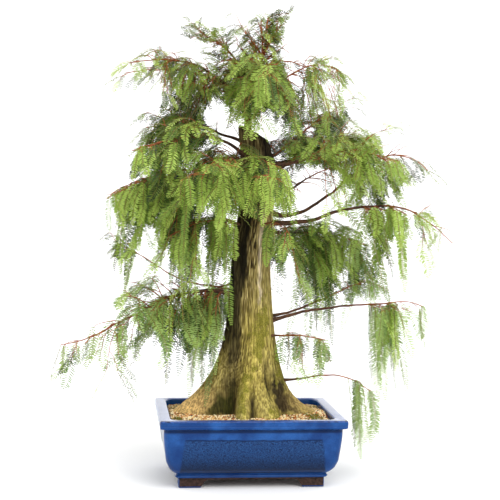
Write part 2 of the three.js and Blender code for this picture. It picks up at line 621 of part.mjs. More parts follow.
// Distance from a point to a limb's line, which is stored as short straight stretches.
function distanceToLine(point, line) {
  let least = Infinity;
  for (let i = 0; i + 1 < line.length; i++) {
    const stretch = new THREE.Line3(line[i], line[i + 1]);
    least = Math.min(least, stretch.closestPointToPoint(point, true, vec(0, 0, 0)).distanceTo(point));
  }
  return least;
}
function lineOf(limb, from, to, drop) {
  const line = [];
  for (let i = 0; i <= LINE_STRETCHES; i++)
    line.push(limbPoint(limb, lerp(from, to, i / LINE_STRETCHES)).addScaledVector(UP, -drop));
  return line;
}
const limbLines = BOUGHS.map((limb) => lineOf(limb, 0, 1, 0));
const spaceLines = BOUGHS.map((limb) =>
  lineOf(limb, Math.max(limb.bare, SPACE_FROM), 1, SPACE_DROP * limb.spray * limb.droop));

function clearOfTrunk(point, clear) {
  const { y, z } = point;
  const besideLeader = THREE.MathUtils.clamp(z, LEADER_FOOT, LEADER_TOP);
  const toLeader = point.distanceTo(leaderMiddle(besideLeader));
  if (toLeader < leaderRadius(besideLeader) + clear) return false;
  if (z > TRUNK_TOP) return true;
  const height = Math.max(z, GROUND);
  const x = point.x - leanAt(height);
  return Math.hypot(x, y) > barkRadius(Math.atan2(y, x), height) + clear;
}
function clearOfPot(point) {
  const overPot = Math.abs(point.x) < RIM_HALF_LENGTH + POT_CLEAR &&
    Math.abs(point.y) < RIM_HALF_WIDTH + POT_CLEAR;
  return point.z > (overPot ? POT_HEIGHT + POT_CLEAR : LOWEST_LEAF);
}

// Whether a point lies in limb k's own space, clear of the other limbs, the trunk and the pot.
function inSpace(point, k) {
  if (!clearOfTrunk(point, TRUNK_CLEAR) || !clearOfPot(point)) return false;
  const own = distanceToLine(point, spaceLines[k]);
  return BOUGHS.every((limb, other) => {
    if (other === k) return true;
    if (distanceToLine(point, limbLines[other]) < limb.girth / 2 + LIMB_CLEAR) return false;
    return distanceToLine(point, spaceLines[other]) > own + 2 * SPACE_MARGIN;
  });
}
function sprayFits(spray, k) {
  const wide = sprayHalfWidth(spray);
  for (let t = SPRAY_CHECK_FIRST; t <= 1; t += SPRAY_CHECK_STEP)
    for (const side of [-1, 0, 1]) {
      const out = t > SPRAY_TIP_FROM ? SPRAY_TIP_WIDTH * wide : wide;
      if (!inSpace(rachisPoint(spray, t).addScaledVector(spray.side, side * out), k)) return false;
    }
  return true;
}
// Whether a spray stays beside the sprays already placed in its own mass.
function clearOfSprays(spray, placed) {
  const apart = SPRAYS_APART * sprayHalfWidth(spray);
  return placed.every((other) => SPRAY_NEIGHBOUR_CHECKS.every((t) => {
    const point = rachisPoint(spray, t);
    return SPRAY_NEIGHBOUR_CHECKS.every((u) => rachisPoint(other, u).distanceTo(point) > apart);
  }));
}
function twigFits(twig, k) {
  return TWIG_CHECKS.every((t) => inSpace(twigPoint(twig, t), k));
}

// The places in a mass that sprays grow from: the tip and middle of each twig and, in turn with
// them, the tip of the stem and places along it.
function sprayPlaces(limb, k, twigs) {
  const places = [];
  const from = limb.bare ? limb.bare + SPRAYS_BEYOND_BARE : SPRAYS_FROM_BARK;
  for (let i = 0; i < limb.sprays; i++) {
    const turn = Math.floor(i / 2);
    if (twigs.length && i % 2 === 0) {
      const twig = twigs[turn % twigs.length];
      const t = turn < twigs.length ? TWIG_TIP_SPRAY : TWIG_MIDDLE_SPRAY;
      places.push({ root: twigPoint(twig, t), heading: twig.heading, size: twig.size });
    } else {
      const t = i === 1 ? STEM_TIP_SPRAY : lerp(from, SPRAYS_TO, chance(k, i, 9));
      const swing = i === 1 ? 0 : TWIG_ANGLE * (turn % 2 ? -1 : 1);
      places.push({ root: limbPoint(limb, t), heading: limb.heading + swing, size: spraySize(limb, t) });
    }
  }
  return places;
}

// One mass: its stem grows on from the bough's tip, twigs branch from the stem, and sprays grow
// from both. What would leave the mass's own space is tried again shorter, or skipped.
function massSolid(limb, k, trunkRoom) {
  const from = limb.bare ? limb.bare + GAP / limb.reach : 0;
  const stem = limbSolid(limb, from, 1, STEM_SIDES, LIMB_STEP);
  const twigs = twigsOf(limb, k).filter((twig) => twigFits(twig, k));
  const parts = [limb.bare ? stem : stem.subtract(trunkRoom), ...twigs.map(twigSolid)];
  const placed = [];
  sprayPlaces(limb, k, twigs).forEach((place, i) => {
    for (let attempt = 0; attempt < SPRAY_TRIES; attempt++) {
      const spray = sprayAt(limb, k, i, place, attempt);
      if (!sprayFits(spray, k) || !clearOfSprays(spray, placed)) continue;
      placed.push(spray);
      parts.push(spraySolid(spray));
      break;
    }
  });
  return largest(wasm.Manifold.union(parts));
}

// The biggest separate body of a solid.
function largest(whole) {
  const bodies = whole.decompose();
  return bodies.reduce((best, body) => (body.volume() > best.volume() ? body : best));
}

// Finishes.

const finish = (color, roughness, metalness = 0) =>
  new THREE.MeshStandardMaterial({ color, roughness, metalness });
const glaze = () => finish(0x2f62b2, 0.18);
const gravel = () => finish(0x9c7a52, 0.95);
const bark = () => finish(0x7a6a3c, 0.9);
const limbBark = () => finish(0x6b4630, 0.85);
const NEEDLE_GREENS = [0x5f9a3c, 0x78b03f, 0x4c7f3a, 0x8fc04a];
const needles = (k) => finish(NEEDLE_GREENS[k % NEEDLE_GREENS.length], 0.75);

// A named mesh from a solid.
function piece(name, body, material) {
  const mesh = body.getMesh();
  const geometry = new THREE.BufferGeometry();
  geometry.setAttribute("position", new THREE.BufferAttribute(mesh.vertProperties, 3));
  geometry.setIndex(new THREE.BufferAttribute(mesh.triVerts, 1));
  geometry.computeVertexNormals();
  const made = new THREE.Mesh(geometry, material);
  made.name = name;
  return made;
}

const tree = new THREE.Group();
const trunkRoom = trunkSolid(GAP);
tree.add(piece("pot", potSolid(), glaze()));
tree.add(piece("soil", soilSolid(), gravel()));
tree.add(piece("trunk", trunkSolid(0), bark()));
BOUGHS.forEach((limb, k) => {
  if (limb.bare) {
    const bough = limbSolid(limb, 0, limb.bare, LIMB_SIDES, LIMB_STEP).subtract(trunkRoom);
    tree.add(piece(`bough_${limb.name}`, largest(bough), limbBark()));
  }
  tree.add(piece(`foliage_${limb.name}`, massSolid(limb, k, trunkRoom), needles(k)));
});

// The part's origin is under the middle of the whole, at the level of the pot's feet.
const box = new THREE.Box3().setFromObject(tree);
tree.position.set(-(box.min.x + box.max.x) / 2, -(box.min.y + box.max.y) / 2, 0);

const part = new THREE.Group();
part.add(tree);
export default part;
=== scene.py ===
# Bald cypress grown as a bonsai in a blue glazed rectangular pot: bark, boughs, twigs, needles,
# glaze, soil and moss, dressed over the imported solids.
# Sizes in the tables are millimetres from the middle of the pot, +X right, +Y back, +Z up.

import math
from itertools import combinations

import bpy
import numpy as np
from mathutils import Matrix, Vector, noise


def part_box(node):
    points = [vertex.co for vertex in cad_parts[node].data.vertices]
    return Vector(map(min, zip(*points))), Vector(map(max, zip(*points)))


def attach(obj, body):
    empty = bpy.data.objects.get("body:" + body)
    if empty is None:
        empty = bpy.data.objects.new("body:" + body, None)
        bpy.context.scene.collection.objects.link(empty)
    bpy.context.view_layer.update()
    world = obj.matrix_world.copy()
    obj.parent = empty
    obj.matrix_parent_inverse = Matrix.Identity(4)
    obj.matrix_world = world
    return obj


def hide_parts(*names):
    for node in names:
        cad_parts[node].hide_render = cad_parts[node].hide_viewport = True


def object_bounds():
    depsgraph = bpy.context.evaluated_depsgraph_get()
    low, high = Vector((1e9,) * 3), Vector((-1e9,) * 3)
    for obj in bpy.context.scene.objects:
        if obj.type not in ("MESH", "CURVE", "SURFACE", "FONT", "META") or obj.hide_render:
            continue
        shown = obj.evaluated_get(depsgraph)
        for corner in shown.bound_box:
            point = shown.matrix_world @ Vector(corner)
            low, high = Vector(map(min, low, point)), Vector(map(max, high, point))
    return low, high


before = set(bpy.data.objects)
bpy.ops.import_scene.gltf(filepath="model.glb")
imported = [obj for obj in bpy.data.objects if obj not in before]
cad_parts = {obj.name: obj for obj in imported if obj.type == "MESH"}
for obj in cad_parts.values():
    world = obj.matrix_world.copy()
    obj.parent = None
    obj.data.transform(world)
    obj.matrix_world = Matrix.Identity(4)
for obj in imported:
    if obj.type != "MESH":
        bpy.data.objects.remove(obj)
cad_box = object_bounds()

MM = 0.001
pot_low, pot_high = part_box("pot")
POT_MIDDLE = np.array([(pot_low.x + pot_high.x) / 2, (pot_low.y + pot_high.y) / 2, 0.0])


def metres(points):
    """Places in millimetres from the pot's middle, as metres in the part's frame."""
    return np.asarray(points, float) * MM + POT_MIDDLE


# Camera.

CAMERA_PLACE = (-303, -2525, 613)
CAMERA_YAW = -0.119
CAMERA_PITCH = -0.043
CAMERA_ROLL = 0.0197
CAMERA_LENS = 82.8


def make_camera():
    """The photo's own view of the pot, and the scene's camera."""
    camera = bpy.data.objects.new("camera", bpy.data.cameras.new("camera"))
    bpy.context.scene.collection.objects.link(camera)
    camera.data.lens = CAMERA_LENS
    camera.data.sensor_width = 36
    camera.data.clip_start = 0.05
    camera.data.clip_end = 40
    turn = Matrix.Rotation(CAMERA_YAW, 4, "Z") @ Matrix.Rotation(math.pi / 2 + CAMERA_PITCH, 4, "X")
    camera.matrix_world = (Matrix.Translation(metres(CAMERA_PLACE)) @ turn
                           @ Matrix.Rotation(CAMERA_ROLL, 4, "Z"))
    bpy.context.scene.camera = camera


make_camera()


# Trunk, leader and limbs: the same sizes and rules as the solids have. Only the last two columns of
# the limbs are for the finer growth: the share of its shoots that a limb keeps inside and at its tip.

RIM_HALF_LENGTH = 200
RIM_HALF_WIDTH = 150
POT_HEIGHT = 150
GROUND = 147
TRUNK_RADIUS = 37
FLARE_RADIUS = 97
FLARE_HEIGHT = 125
TRUNK_DEPTH_CUT = 0.2
BUTTRESSES = [
    # heading, reach, spread, fade
    (184, 70, 20, 66), (-4, 44, 22, 24), (4, 15, 34, 150), (-63, 30, 14, 48), (-97, 34, 13, 56),
    (-124, -20, 14, 90), (-146, 14, 12, 60), (62, 26, 20, 55), (118, 30, 22, 65),
]
LEAN = [(147, -2), (300, 2), (500, 0), (620, 11), (700, 13), (790, 5)]
CUT_EDGE_X = 31
CUT_EDGE_HEIGHT = 746
CUT_TILTS = (27, 66)
LEADER_X = -11
LEADER_BEND = 10
LEADER_BEND_HEIGHT = 842
LEADER_BEND_SPREAD = 26
LEADER_LEAN = 30
LEADER_LEAN_FROM = 850
LEADER_FOOT = 660
LEADER_BEARS_FROM = 750
LEADER_TOP = 940
LEADER_RADII = (12, 2.4)

LIMB_NAMES = ("name", "height", "heading", "reach", "rise", "bow", "lag", "sweep", "girth", "bare",
              "fan", "twigs", "spray", "droop", "leafy_inside", "leafy_tip")
LIMB_ROWS = [
    ("right_lowest", 216, -6, 192, -26, 26, 6, 0, 5.5, 0.7, 40, 1, 150, 0.96, 0.6, 0.6),
    ("right_stub", 317, -27, 122, -4, 4, 0, 0, 4, 0, 36, 2, 78, 0.82, 0.8, 0.65),
    ("right_skirt", 350, -9, 326, 14, 30, 4, 4, 8, 0.62, 70, 3, 122, 0.88, 1.0, 0.34),
    ("right_skirt_back", 356, 20, 280, 74, 2, 6, -4, 7, 0.68, 52, 2, 62, 0.4, 0.5, 0.35),
    ("right_middle_low", 548, 27, 286, -84, 36, 12, -4, 7, 0.3, 88, 4, 118, 0.92, 0.8, 0.7),
    ("right_middle", 565, -14, 394, -8, 46, 20, -4, 11, 0.46, 80, 4, 104, 0.86, 0.65, 0.5),
    ("right_middle_high", 586, 4, 358, 104, 30, 34, 12, 10, 0.55, 74, 4, 88, 0.42, 0.8, 0.26),
    ("right_rear", 618, 46, 286, 78, 4, 4, 5, 8, 0.4, 84, 4, 92, 0.6, 0.12, 0.3),
    ("right_upper", 684, -26, 252, 16, 28, 6, -6, 9, 0.34, 80, 4, 92, 0.62, 0.22, 0.45),
    ("right_upper_back", 696, 18, 262, 58, 6, 6, 8, 8, 0.34, 74, 3, 84, 0.5, 0.5, 0.5),
    ("right_high", 708, 42, 236, 124, -4, 4, 6, 7, 0.36, 70, 4, 76, 0.5, 0.7, 0.6),
    ("top_right", 846, -12, 206, 48, 24, 10, 4, 6, 0.36, 60, 3, 64, 0.5, 0.36, 0.36),
    ("top_right_back", 884, 30, 170, 28, 30, -2, 6, 5, 0, 60, 3, 64, 0.42, 0.26, 0.28),
    ("top", 940, 20, 10, 78, 0, 0, 0, 4.4, 0, 60, 4, 46, -0.3, 0.55, 0.38),
    ("top_left_high", 868, -166, 112, 108, 26, -6, 0, 5, 0, 56, 3, 52, -0.3, 0.4, 0.3),
    ("top_left", 812, -165, 262, 88, 50, -8, 2, 8, 0.42, 60, 4, 78, 0.5, 0.6, 0.22),
    ("top_left_back", 826, 150, 296, 74, 38, -4, -10, 7, 0.4, 66, 4, 72, 0.42, 0.5, 0.24),
    ("top_back", 878, 96, 150, 46, 30, 0, 0, 5, 0, 60, 3, 64, 0.4, 0.6, 0.5),
    ("top_front", 860, -80, 156, 8, 28, 0, 6, 5, 0, 60, 3, 98, 0.82, 0.95, 0.85),
    ("left_upper_back", 744, 148, 246, 34, 18, 0, -10, 7, 0.4, 76, 4, 84, 0.58, 0.5, 0.45),
    ("left_upper", 712, -156, 268, -2, 36, -4, 16, 8, 0.34, 80, 4, 94, 0.7, 0.6, 0.5),
    ("left_front", 684, -122, 226, -30, 32, 0, -10, 7, 0.34, 76, 4, 112, 0.86, 0.8, 0.65),
    ("front", 672, -92, 206, -22, 34, 0, 6, 6, 0, 56, 3, 108, 0.88, 0.85, 0.75),
    ("left_middle", 656, -168, 296, -44, 38, 0, 0, 9, 0.36, 86, 5, 112, 0.86, 0.8, 0.66),
    ("left_middle_back", 634, 146, 262, -20, 22, 0, 0, 8, 0.36, 88, 4, 112, 0.82, 0.75, 0.6),
    ("left_weeping", 560, -150, 176, -22, 20, 0, 10, 5, 0, 60, 3, 112, 0.92, 0.85, 0.8),
    ("left_slender", 428, 173, 256, 86, -26, 8, 0, 4, 0.86, 30, 2, 38, 0.3, 0.8, 0.8),
    ("left_lowest", 406, -171, 366, -86, 20, -12, 6, 10, 0.28, 92, 6, 118, 0.9, 0.6, 0.24),
    ("front_weeping", 560, -66, 112, -18, 16, 0, 0, 4, 0, 38, 1, 100, 0.92, 0.6, 0.6),
    ("back_lowest", 396, 102, 250, -36, 28, 0, 6, 8, 0.38, 88, 4, 112, 0.88, 0.75, 0.65),
    ("back_left", 542, 118, 270, -6, 32, 0, -8, 8, 0.34, 90, 4, 112, 0.84, 0.75, 0.65),
    ("back_right", 500, 64, 274, 8, 30, 4, 8, 8, 0.34, 90, 4, 112, 0.84, 0.4, 0.34),
    ("back_upper", 664, 98, 240, 42, 24, 0, 0, 8, 0.34, 84, 4, 94, 0.68, 0.65, 0.6),
]
LIMBS = [dict(zip(LIMB_NAMES, row)) for row in LIMB_ROWS]
WAVE_TO_ONE = 10.4
LIMB_TAPER = 0.8
TIP_RADIUS = 0.9


def chance(limb, item, use):
    """A number from 0 to 1, the same each time. The three numbers only tell the draws apart."""
    s = math.sin(limb * 12.9898 + item * 78.233 + use * 37.719) * 43758.5453
    return s - math.floor(s)


def between(low, high, limb, item, use):
    """A number from low to high, drawn by chance."""
    return low + (high - low) * chance(limb, item, use)


def unit(x):
    """A number kept from 0 to 1."""
    return max(0.0, min(1.0, x))


def ramp(x, low, high):
    """0 up to low and 1 from high on, with a soft step between."""
    t = unit((x - low) / (high - low))
    return t * t * (3 - 2 * t)


def fall(x, low, high):
    """1 up to low and 0 from high on, with a soft step between."""
    return 1 - ramp(x, low, high)


def heading_vector(degrees):
    return np.array([math.cos(math.radians(degrees)), math.sin(math.radians(degrees)), 0.0])


def lean_at(height):
    """How far the trunk's middle lies to the right at a height."""
    for (low, x_low), (high, x_high) in zip(LEAN, LEAN[1:]):
        if height <= high:
            return x_low + (x_high - x_low) * ramp(height, low, high)
    return LEAN[-1][1]


def bark_radius(angle, height):
    """Distance from the trunk's middle to the bark, for an angle in radians and a height."""
    up = height - GROUND
    flare = np.exp(-up / FLARE_HEIGHT)
    radius = TRUNK_RADIUS + (FLARE_RADIUS - TRUNK_RADIUS) * flare
    radius = radius * (1 - TRUNK_DEPTH_CUT * flare * np.sin(angle) ** 2)
    for heading, reach, spread, fade in BUTTRESSES:
        off = angle - math.radians(heading)
        turn = np.arctan2(np.sin(off), np.cos(off))
        radius = radius + reach * np.exp(-((turn / math.radians(spread)) ** 2) - up / fade)
    return radius


def leader_middle(height):
    """The middle of the leader, which bends left and then leans right."""
    bend = math.exp(-(((height - LEADER_BEND_HEIGHT) / LEADER_BEND_SPREAD) ** 2))
    lean = ramp(height, LEADER_LEAN_FROM, LEADER_TOP)
    return np.array([LEADER_X - LEADER_BEND * bend + LEADER_LEAN * lean, 0.0, height])


def leader_radius(height):
    t = (height - LEADER_FOOT) / (LEADER_TOP - LEADER_FOOT)
    return LEADER_RADII[0] + (LEADER_RADII[1] - LEADER_RADII[0]) * t


def limb_base(limb):
    """Where a limb leaves the bark of the trunk or of the leader."""
    if limb["height"] >= LEADER_BEARS_FROM:
        out = heading_vector(limb["heading"]) * leader_radius(limb["height"])
        return leader_middle(limb["height"]) + out
    radius = bark_radius(math.radians(limb["heading"]), limb["height"])
    middle = np.array([lean_at(limb["height"]), 0.0, limb["height"]])
    return middle + heading_vector(limb["heading"]) * radius


def limb_point(limb, t):
    """A point on a limb, with t from 0 at the bark to 1 at its leafy tip."""
    out = heading_vector(limb["heading"])
    side = np.array([-out[1], out[0], 0.0])
    hump = 4 * t * (1 - t)
    wave = WAVE_TO_ONE * t * (1 - t) * (2 * t - 1)
    up = limb["rise"] * t + limb["bow"] * hump + limb["lag"] * wave
    return limb["base"] + out * limb["reach"] * t + side * limb["sweep"] * hump + np.array([0, 0, up])


def limb_radius(limb, t):
    thick = limb["girth"] / 2
    return thick + (TIP_RADIUS - thick) * max(t, 0.0) ** LIMB_TAPER


for one in LIMBS:
    one["base"] = limb_base(one)


# Shared makers of meshes and pieces.

def new_mesh(name, points, faces=(), edges=()):
    mesh = bpy.data.meshes.new(name)
    mesh.from_pydata([tuple(p) for p in points], [tuple(e) for e in edges], [tuple(f) for f in faces])
    mesh.update()
    return mesh


def new_object(name, mesh):
    made = bpy.data.objects.new(name, mesh)
    bpy.context.scene.collection.objects.link(made)
    return made


def give_numbers(mesh, name, kind, values):
    """Stores one value for each point of a mesh: kind FLOAT, FLOAT_VECTOR or FLOAT_COLOR."""
    attribute = mesh.attributes.new(name, kind, "POINT")
    field = {"FLOAT": "value", "FLOAT_VECTOR": "vector", "FLOAT_COLOR": "color"}[kind]
    attribute.data.foreach_set(field, np.asarray(values, np.float32).ravel())


def end_faces(first, last):
    """One face over the first ring of a grid of points and one over its last ring."""
    return [tuple(reversed(first)), tuple(last)]


def finish_piece(piece, slot_name, nodes=()):
    """Tells the frame which body and nodes a finished piece belongs to. slot_name is not used."""
    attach(piece, "root")
    if nodes:
        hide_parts(*nodes)
    return piece


def grid_faces(rows, columns, start=0):
    """Faces over rings of points that close round, each ring anticlockwise seen from its end."""
    faces = []
    for row in range(rows - 1):
        for column in range(columns):
            a = start + row * columns + column
            b = start + row * columns + (column + 1) % columns
            faces.append((a, b, b + columns, a + columns))
    return faces


# Nodes: one way of adding them for shapes, groups and materials.

def find_socket(sockets, name):
    """A socket of a node by its number, or by its name with _ for a space."""
    if isinstance(name, int):
        return sockets[name]
    return next(s for s in sockets if s.name == name.replace("_", " ") and s.enabled)


class Value:
    """What a node puts out. [name] is another output of that node; + - * and abs add Math nodes."""

    def __init__(self, maker, socket):
        self.maker = maker
        self.socket = socket

    def __getitem__(self, name):
        return Value(self.maker, find_socket(self.socket.node.outputs, name))

    def __add__(self, other):
        return self.maker.math("ADD", self, other)

    def __sub__(self, other):
        return self.maker.math("SUBTRACT", self, other)

    def __rsub__(self, other):
        return self.maker.math("SUBTRACT", other, self)

    def __mul__(self, other):
        return self.maker.math("MULTIPLY", self, other)

    def __abs__(self):
        return self.maker.math("ABSOLUTE", self)


class Maker:
    """Adds nodes to one node tree and links them."""

    def __init__(self, tree):
        self.tree = tree

    def link(self, value, target):
        if isinstance(value, Value):
            self.tree.links.new(value.socket, target)
        else:
            target.default_value = value

    def add(self, kind, **given):
        """Adds a node. A small first letter is a setting, a capital a socket, _ a socket's number."""
        node = self.tree.nodes.new(kind)
        for name, value in given.items():
            if name[0].islower():
                setattr(node, name, value)
        for name, value in given.items():
            if not name[0].islower():
                wanted = int(name[1:]) if name[0] == "_" else name
                self.link(value, find_socket(node.inputs, wanted))
        return Value(self, next((s for s in node.outputs if s.enabled), None))

    def math(self, operation, a, b=0.0, c=0.0):
        return self.add("ShaderNodeMath", operation=operation, _0=a, _1=b, _2=c)

    def noise(self, place, scale, detail=3.0, roughness=0.55):
        return self.add("ShaderNodeTexNoise", Vector=place, Scale=scale, Detail=detail,
                        Roughness=roughness)

    def mix(self, factor, a, b, blend="MIX"):
        return self.add("ShaderNodeMix", data_type="RGBA", blend_type=blend, _0=factor, _6=a, _7=b)

    def band(self, value, low, high):
        """0 below low and 1 above high, with a soft step between."""
        return self.add("ShaderNodeMapRange", interpolation_type="SMOOTHSTEP", Value=value,
                        From_Min=low, From_Max=high)

    def spread(self, value, low, high):
        """A mask of 0 to 1 turned into a value from low to high."""
        return self.add("ShaderNodeMapRange", Value=value, To_Min=low, To_Max=high)


class Group(Maker):
    """A node group with named inputs, as (name, kind) or (name, kind, value), and named outputs."""

    def __init__(self, kind, name, inputs, outputs):
        super().__init__(bpy.data.node_groups.new(name, kind))
        self.identifiers = {}
        for way, sockets in (("INPUT", inputs), ("OUTPUT", outputs)):
            for label, socket_kind, *value in sockets:
                made = self.tree.interface.new_socket(name=label, in_out=way,
                                                      socket_type="NodeSocket" + socket_kind)
                self.identifiers.setdefault(label, made.identifier)
                if value:
                    made.default_value = value[0]
        self.given = Value(self, self.tree.nodes.new("NodeGroupInput").outputs[0])
        self.end = self.tree.nodes.new("NodeGroupOutput")

    def close(self, **results):
        for name, value in results.items():
            self.link(value, find_socket(self.end.inputs, name))
        return self.tree


# Geometry Nodes: what repeats along the limbs and over the soil.

class Growth(Group):
    """Geometry Nodes that turn a mesh of lines or faces into one finished mesh."""

    def __init__(self, name, *inputs):
        super().__init__("GeometryNodeTree", name,
                         [("Geometry", "Geometry"), *inputs, ("Material", "Material")],
                         [("Geometry", "Geometry")])

    def attribute(self, name, kind="FLOAT"):
        return self.add("GeometryNodeInputNamedAttribute", data_type=kind, Name=name)

    def draw(self, low, high, seed):
        """A random number between two others, or a random vector between two others."""
        kind = "FLOAT_VECTOR" if isinstance(low, tuple) else "FLOAT"
        return self.add("FunctionNodeRandomValue", data_type=kind, Min=low, Max=high, Seed=seed)

    def scaled(self, vector, factor):
        return self.add("ShaderNodeVectorMath", operation="SCALE", _0=vector, Scale=factor)

    def both(self, operation, a, b):
        return self.add("ShaderNodeVectorMath", operation=operation, _0=a, _1=b)

    def finish(self, geometry):
        """Realizes the instances and sets the material."""
        real = self.add("GeometryNodeRealizeInstances", Geometry=geometry)
        self.close(Geometry=self.add("GeometryNodeSetMaterial", Geometry=real,
                                     Material=self.given["Material"]))
        return self

    def grow(self, name, mesh, **values):
        """Runs the tree on a mesh and gives back a plain mesh object of the result."""
        source = new_object(name + "_source", mesh)
        modifier = source.modifiers.new("grow", "NODES")
        modifier.node_group = self.tree
        for label, value in values.items():
            modifier[self.identifiers[label.replace("_", " ")]] = value
        view = bpy.context.evaluated_depsgraph_get()
        grown = bpy.data.meshes.new_from_object(source.evaluated_get(view),
                                                preserve_all_data_layers=True, depsgraph=view)
        source.modifiers.clear()
        bpy.data.objects.remove(source)
        grown.name = name
        return new_object(name, grown)


def tube_tree():
    """A tube along each line of a mesh, as thick as its points' radius says."""
    tree = Growth("tubes along lines", ("Sides", "Int"), ("Knots", "Float"), ("Knot Size", "Float"))
    given = tree.given
    curve = tree.add("GeometryNodeMeshToCurve", Mesh=given["Geometry"])
    ring = tree.add("GeometryNodeCurvePrimitiveCircle", Resolution=given["Sides"], Radius=1.0)
    tube = tree.add("GeometryNodeCurveToMesh", Curve=curve, Profile_Curve=ring, Fill_Caps=True,
                    Scale=tree.attribute("radius"))
    rough = tree.add("ShaderNodeTexNoise", Scale=given["Knot Size"], Detail=2.0)
    push = tree.scaled(tree.add("GeometryNodeInputNormal"), (rough - 0.5) * given["Knots"])
    moved = tree.add("GeometryNodeSetPosition", Geometry=tube, Offset=push)
    return tree.finish(tree.add("GeometryNodeSetShadeSmooth", Geometry=moved))


# Needles are longest along the middle of a shoot: its length as a sine of the place along it.
PROFILE_WAVE, PROFILE_START = 2.7, 0.34
PROFILE_HEIGHT, PROFILE_FOOT = 1.4, 0.14
NEEDLE_SPREAD = (0.82, 1.08)


def needle_tree():
    """Two ranks of needles along each line of a mesh, in the plane that its points' side gives."""
    tree = Growth("needles in two ranks", ("Needle", "Object"), ("Spacing", "Float"),
                  ("Needle Length", "Float"), ("Needle Width", "Float"), ("Lean Forward", "Float"),
                  ("Unevenness", "Float"), ("Seed", "Int"))
    given = tree.given
    curve = tree.add("GeometryNodeMeshToCurve", Mesh=given["Geometry"])
    points = tree.add("GeometryNodeCurveToPoints", mode="LENGTH", Curve=curve,
                      Length=given["Spacing"])
    place = tree.math("MULTIPLY_ADD", tree.attribute("along"), PROFILE_WAVE, PROFILE_START)
    height = tree.math("MULTIPLY_ADD", tree.math("SINE", place), PROFILE_HEIGHT, PROFILE_FOOT)
    size = tree.math("MINIMUM", height, 1.0) * tree.attribute("size")
    needle = tree.add("GeometryNodeObjectInfo", Object=given["Needle"])["Geometry"]
    side = tree.attribute("side", "FLOAT_VECTOR")
    tangent = points["Tangent"]
    ranks = tree.add("GeometryNodeJoinGeometry")
    for rank, sign in enumerate((1.0, -1.0)):
        seed = tree.math("MULTIPLY_ADD", given["Seed"], 2.0, float(rank))
        uneven = tree.scaled(tree.draw((-1.0, -1.0, -1.0), (1.0, 1.0, 1.0), seed), given["Unevenness"])
        aim = tree.both("ADD", tree.scaled(side, sign), tree.scaled(tangent, given["Lean Forward"]))
        aim = tree.both("ADD", aim, uneven)
        turn = tree.add("FunctionNodeAxesToRotation", primary_axis="X", secondary_axis="Z",
                        Primary_Axis=aim, Secondary_Axis=tree.both("CROSS_PRODUCT", aim, tangent))
        length = size * tree.draw(*NEEDLE_SPREAD, seed) * given["Needle Length"]
        scale = tree.add("ShaderNodeCombineXYZ", X=length, Y=given["Needle Width"], Z=length)
        row = tree.add("GeometryNodeInstanceOnPoints", Points=points, Instance=needle, Rotation=turn,
                       Scale=scale)
        tree.link(row, ranks.socket.node.inputs[0])
    return tree.finish(ranks)


HALF_TURN = (3.14, 3.14, 3.14)


def scatter_tree():
    """Small bodies strewn over a surface, a share of them picked by chance."""
    tree = Growth("strewn over a surface", ("Body", "Object"), ("Apart", "Float"),
                  ("Density", "Float"), ("Smallest", "Float"), ("Largest", "Float"),
                  ("Share From", "Float"), ("Share To", "Float"), ("Tumble", "Float"), ("Seed", "Int"))
    given = tree.given
    points = tree.add("GeometryNodeDistributePointsOnFaces", distribute_method="POISSON",
                      Mesh=given["Geometry"], Distance_Min=given["Apart"],
                      Density_Max=given["Density"], Seed=given["Seed"],
                      Density_Factor=tree.attribute("cover"))
    lot = tree.draw(0.0, 1.0, 7)
    above = tree.add("FunctionNodeCompare", operation="GREATER_EQUAL", _0=lot, _1=given["Share From"])
    below = tree.add("FunctionNodeCompare", operation="LESS_THAN", _0=lot, _1=given["Share To"])
    picked = tree.add("FunctionNodeBooleanMath", operation="AND", _0=above, _1=below)
    tumble = tree.draw(tuple(-turn for turn in HALF_TURN), HALF_TURN, 11)
    body = tree.add("GeometryNodeObjectInfo", Object=given["Body"])["Geometry"]
    return tree.finish(tree.add("GeometryNodeInstanceOnPoints", Points=points, Selection=picked,
                                Instance=body, Rotation=tree.scaled(tumble, given["Tumble"]),
                                Scale=tree.draw(given["Smallest"], given["Largest"], 13)))


# Shaders.

def linear(red, green, blue):
    """A colour from the 0 to 255 values that it shows on a screen."""
    def one(value):
        v = value / 255
        return v / 12.92 if v <= 0.04045 else ((v + 0.055) / 1.055) ** 2.4
    return (one(red), one(green), one(blue), 1.0)


def grain_group():
    """Coarse and fine grain: a mask for the colour and a height for the relief."""
    grain = Group("ShaderNodeTree", "grain",
                  [("Place", "Vector"), ("Coarse", "Float", 60.0), ("Fine", "Float", 400.0),
                   ("Share of Fine", "Float", 0.4)], [("Mask", "Float"), ("Height", "Float")])
    given = grain.given
    share = given["Share of Fine"]
    coarse = grain.noise(given["Place"], given["Coarse"])
    fine = grain.noise(given["Place"], given["Fine"], 2.0)
    height = grain.math("MULTIPLY_ADD", fine, share, coarse * (1.0 - share))
    return grain.close(Mask=grain.band(height, 0.36, 0.64), Height=height)


def moss_group():
    """Moss in patches: a mask, a tufted height and a colour."""
    moss = Group("ShaderNodeTree", "moss",
                 [("Place", "Vector"), ("Patch Scale", "Float", 22.0), ("Amount", "Float", 0.5)],
                 [("Mask", "Float"), ("Height", "Float"), ("Color", "Color")])
    given = moss.given
    patches = moss.noise(given["Place"], given["Patch Scale"], 4.0, 0.6)
    level = 0.95 - given["Amount"]
    tufts = moss.noise(given["Place"], 620.0, 2.0, 0.7)
    tint = moss.mix(moss.band(tufts, 0.38, 0.64), linear(70, 72, 16), linear(156, 148, 50))
    return moss.close(Mask=moss.band(patches, level - 0.09, level + 0.09), Height=tufts, Color=tint)


GRAIN = grain_group()
MOSS = moss_group()


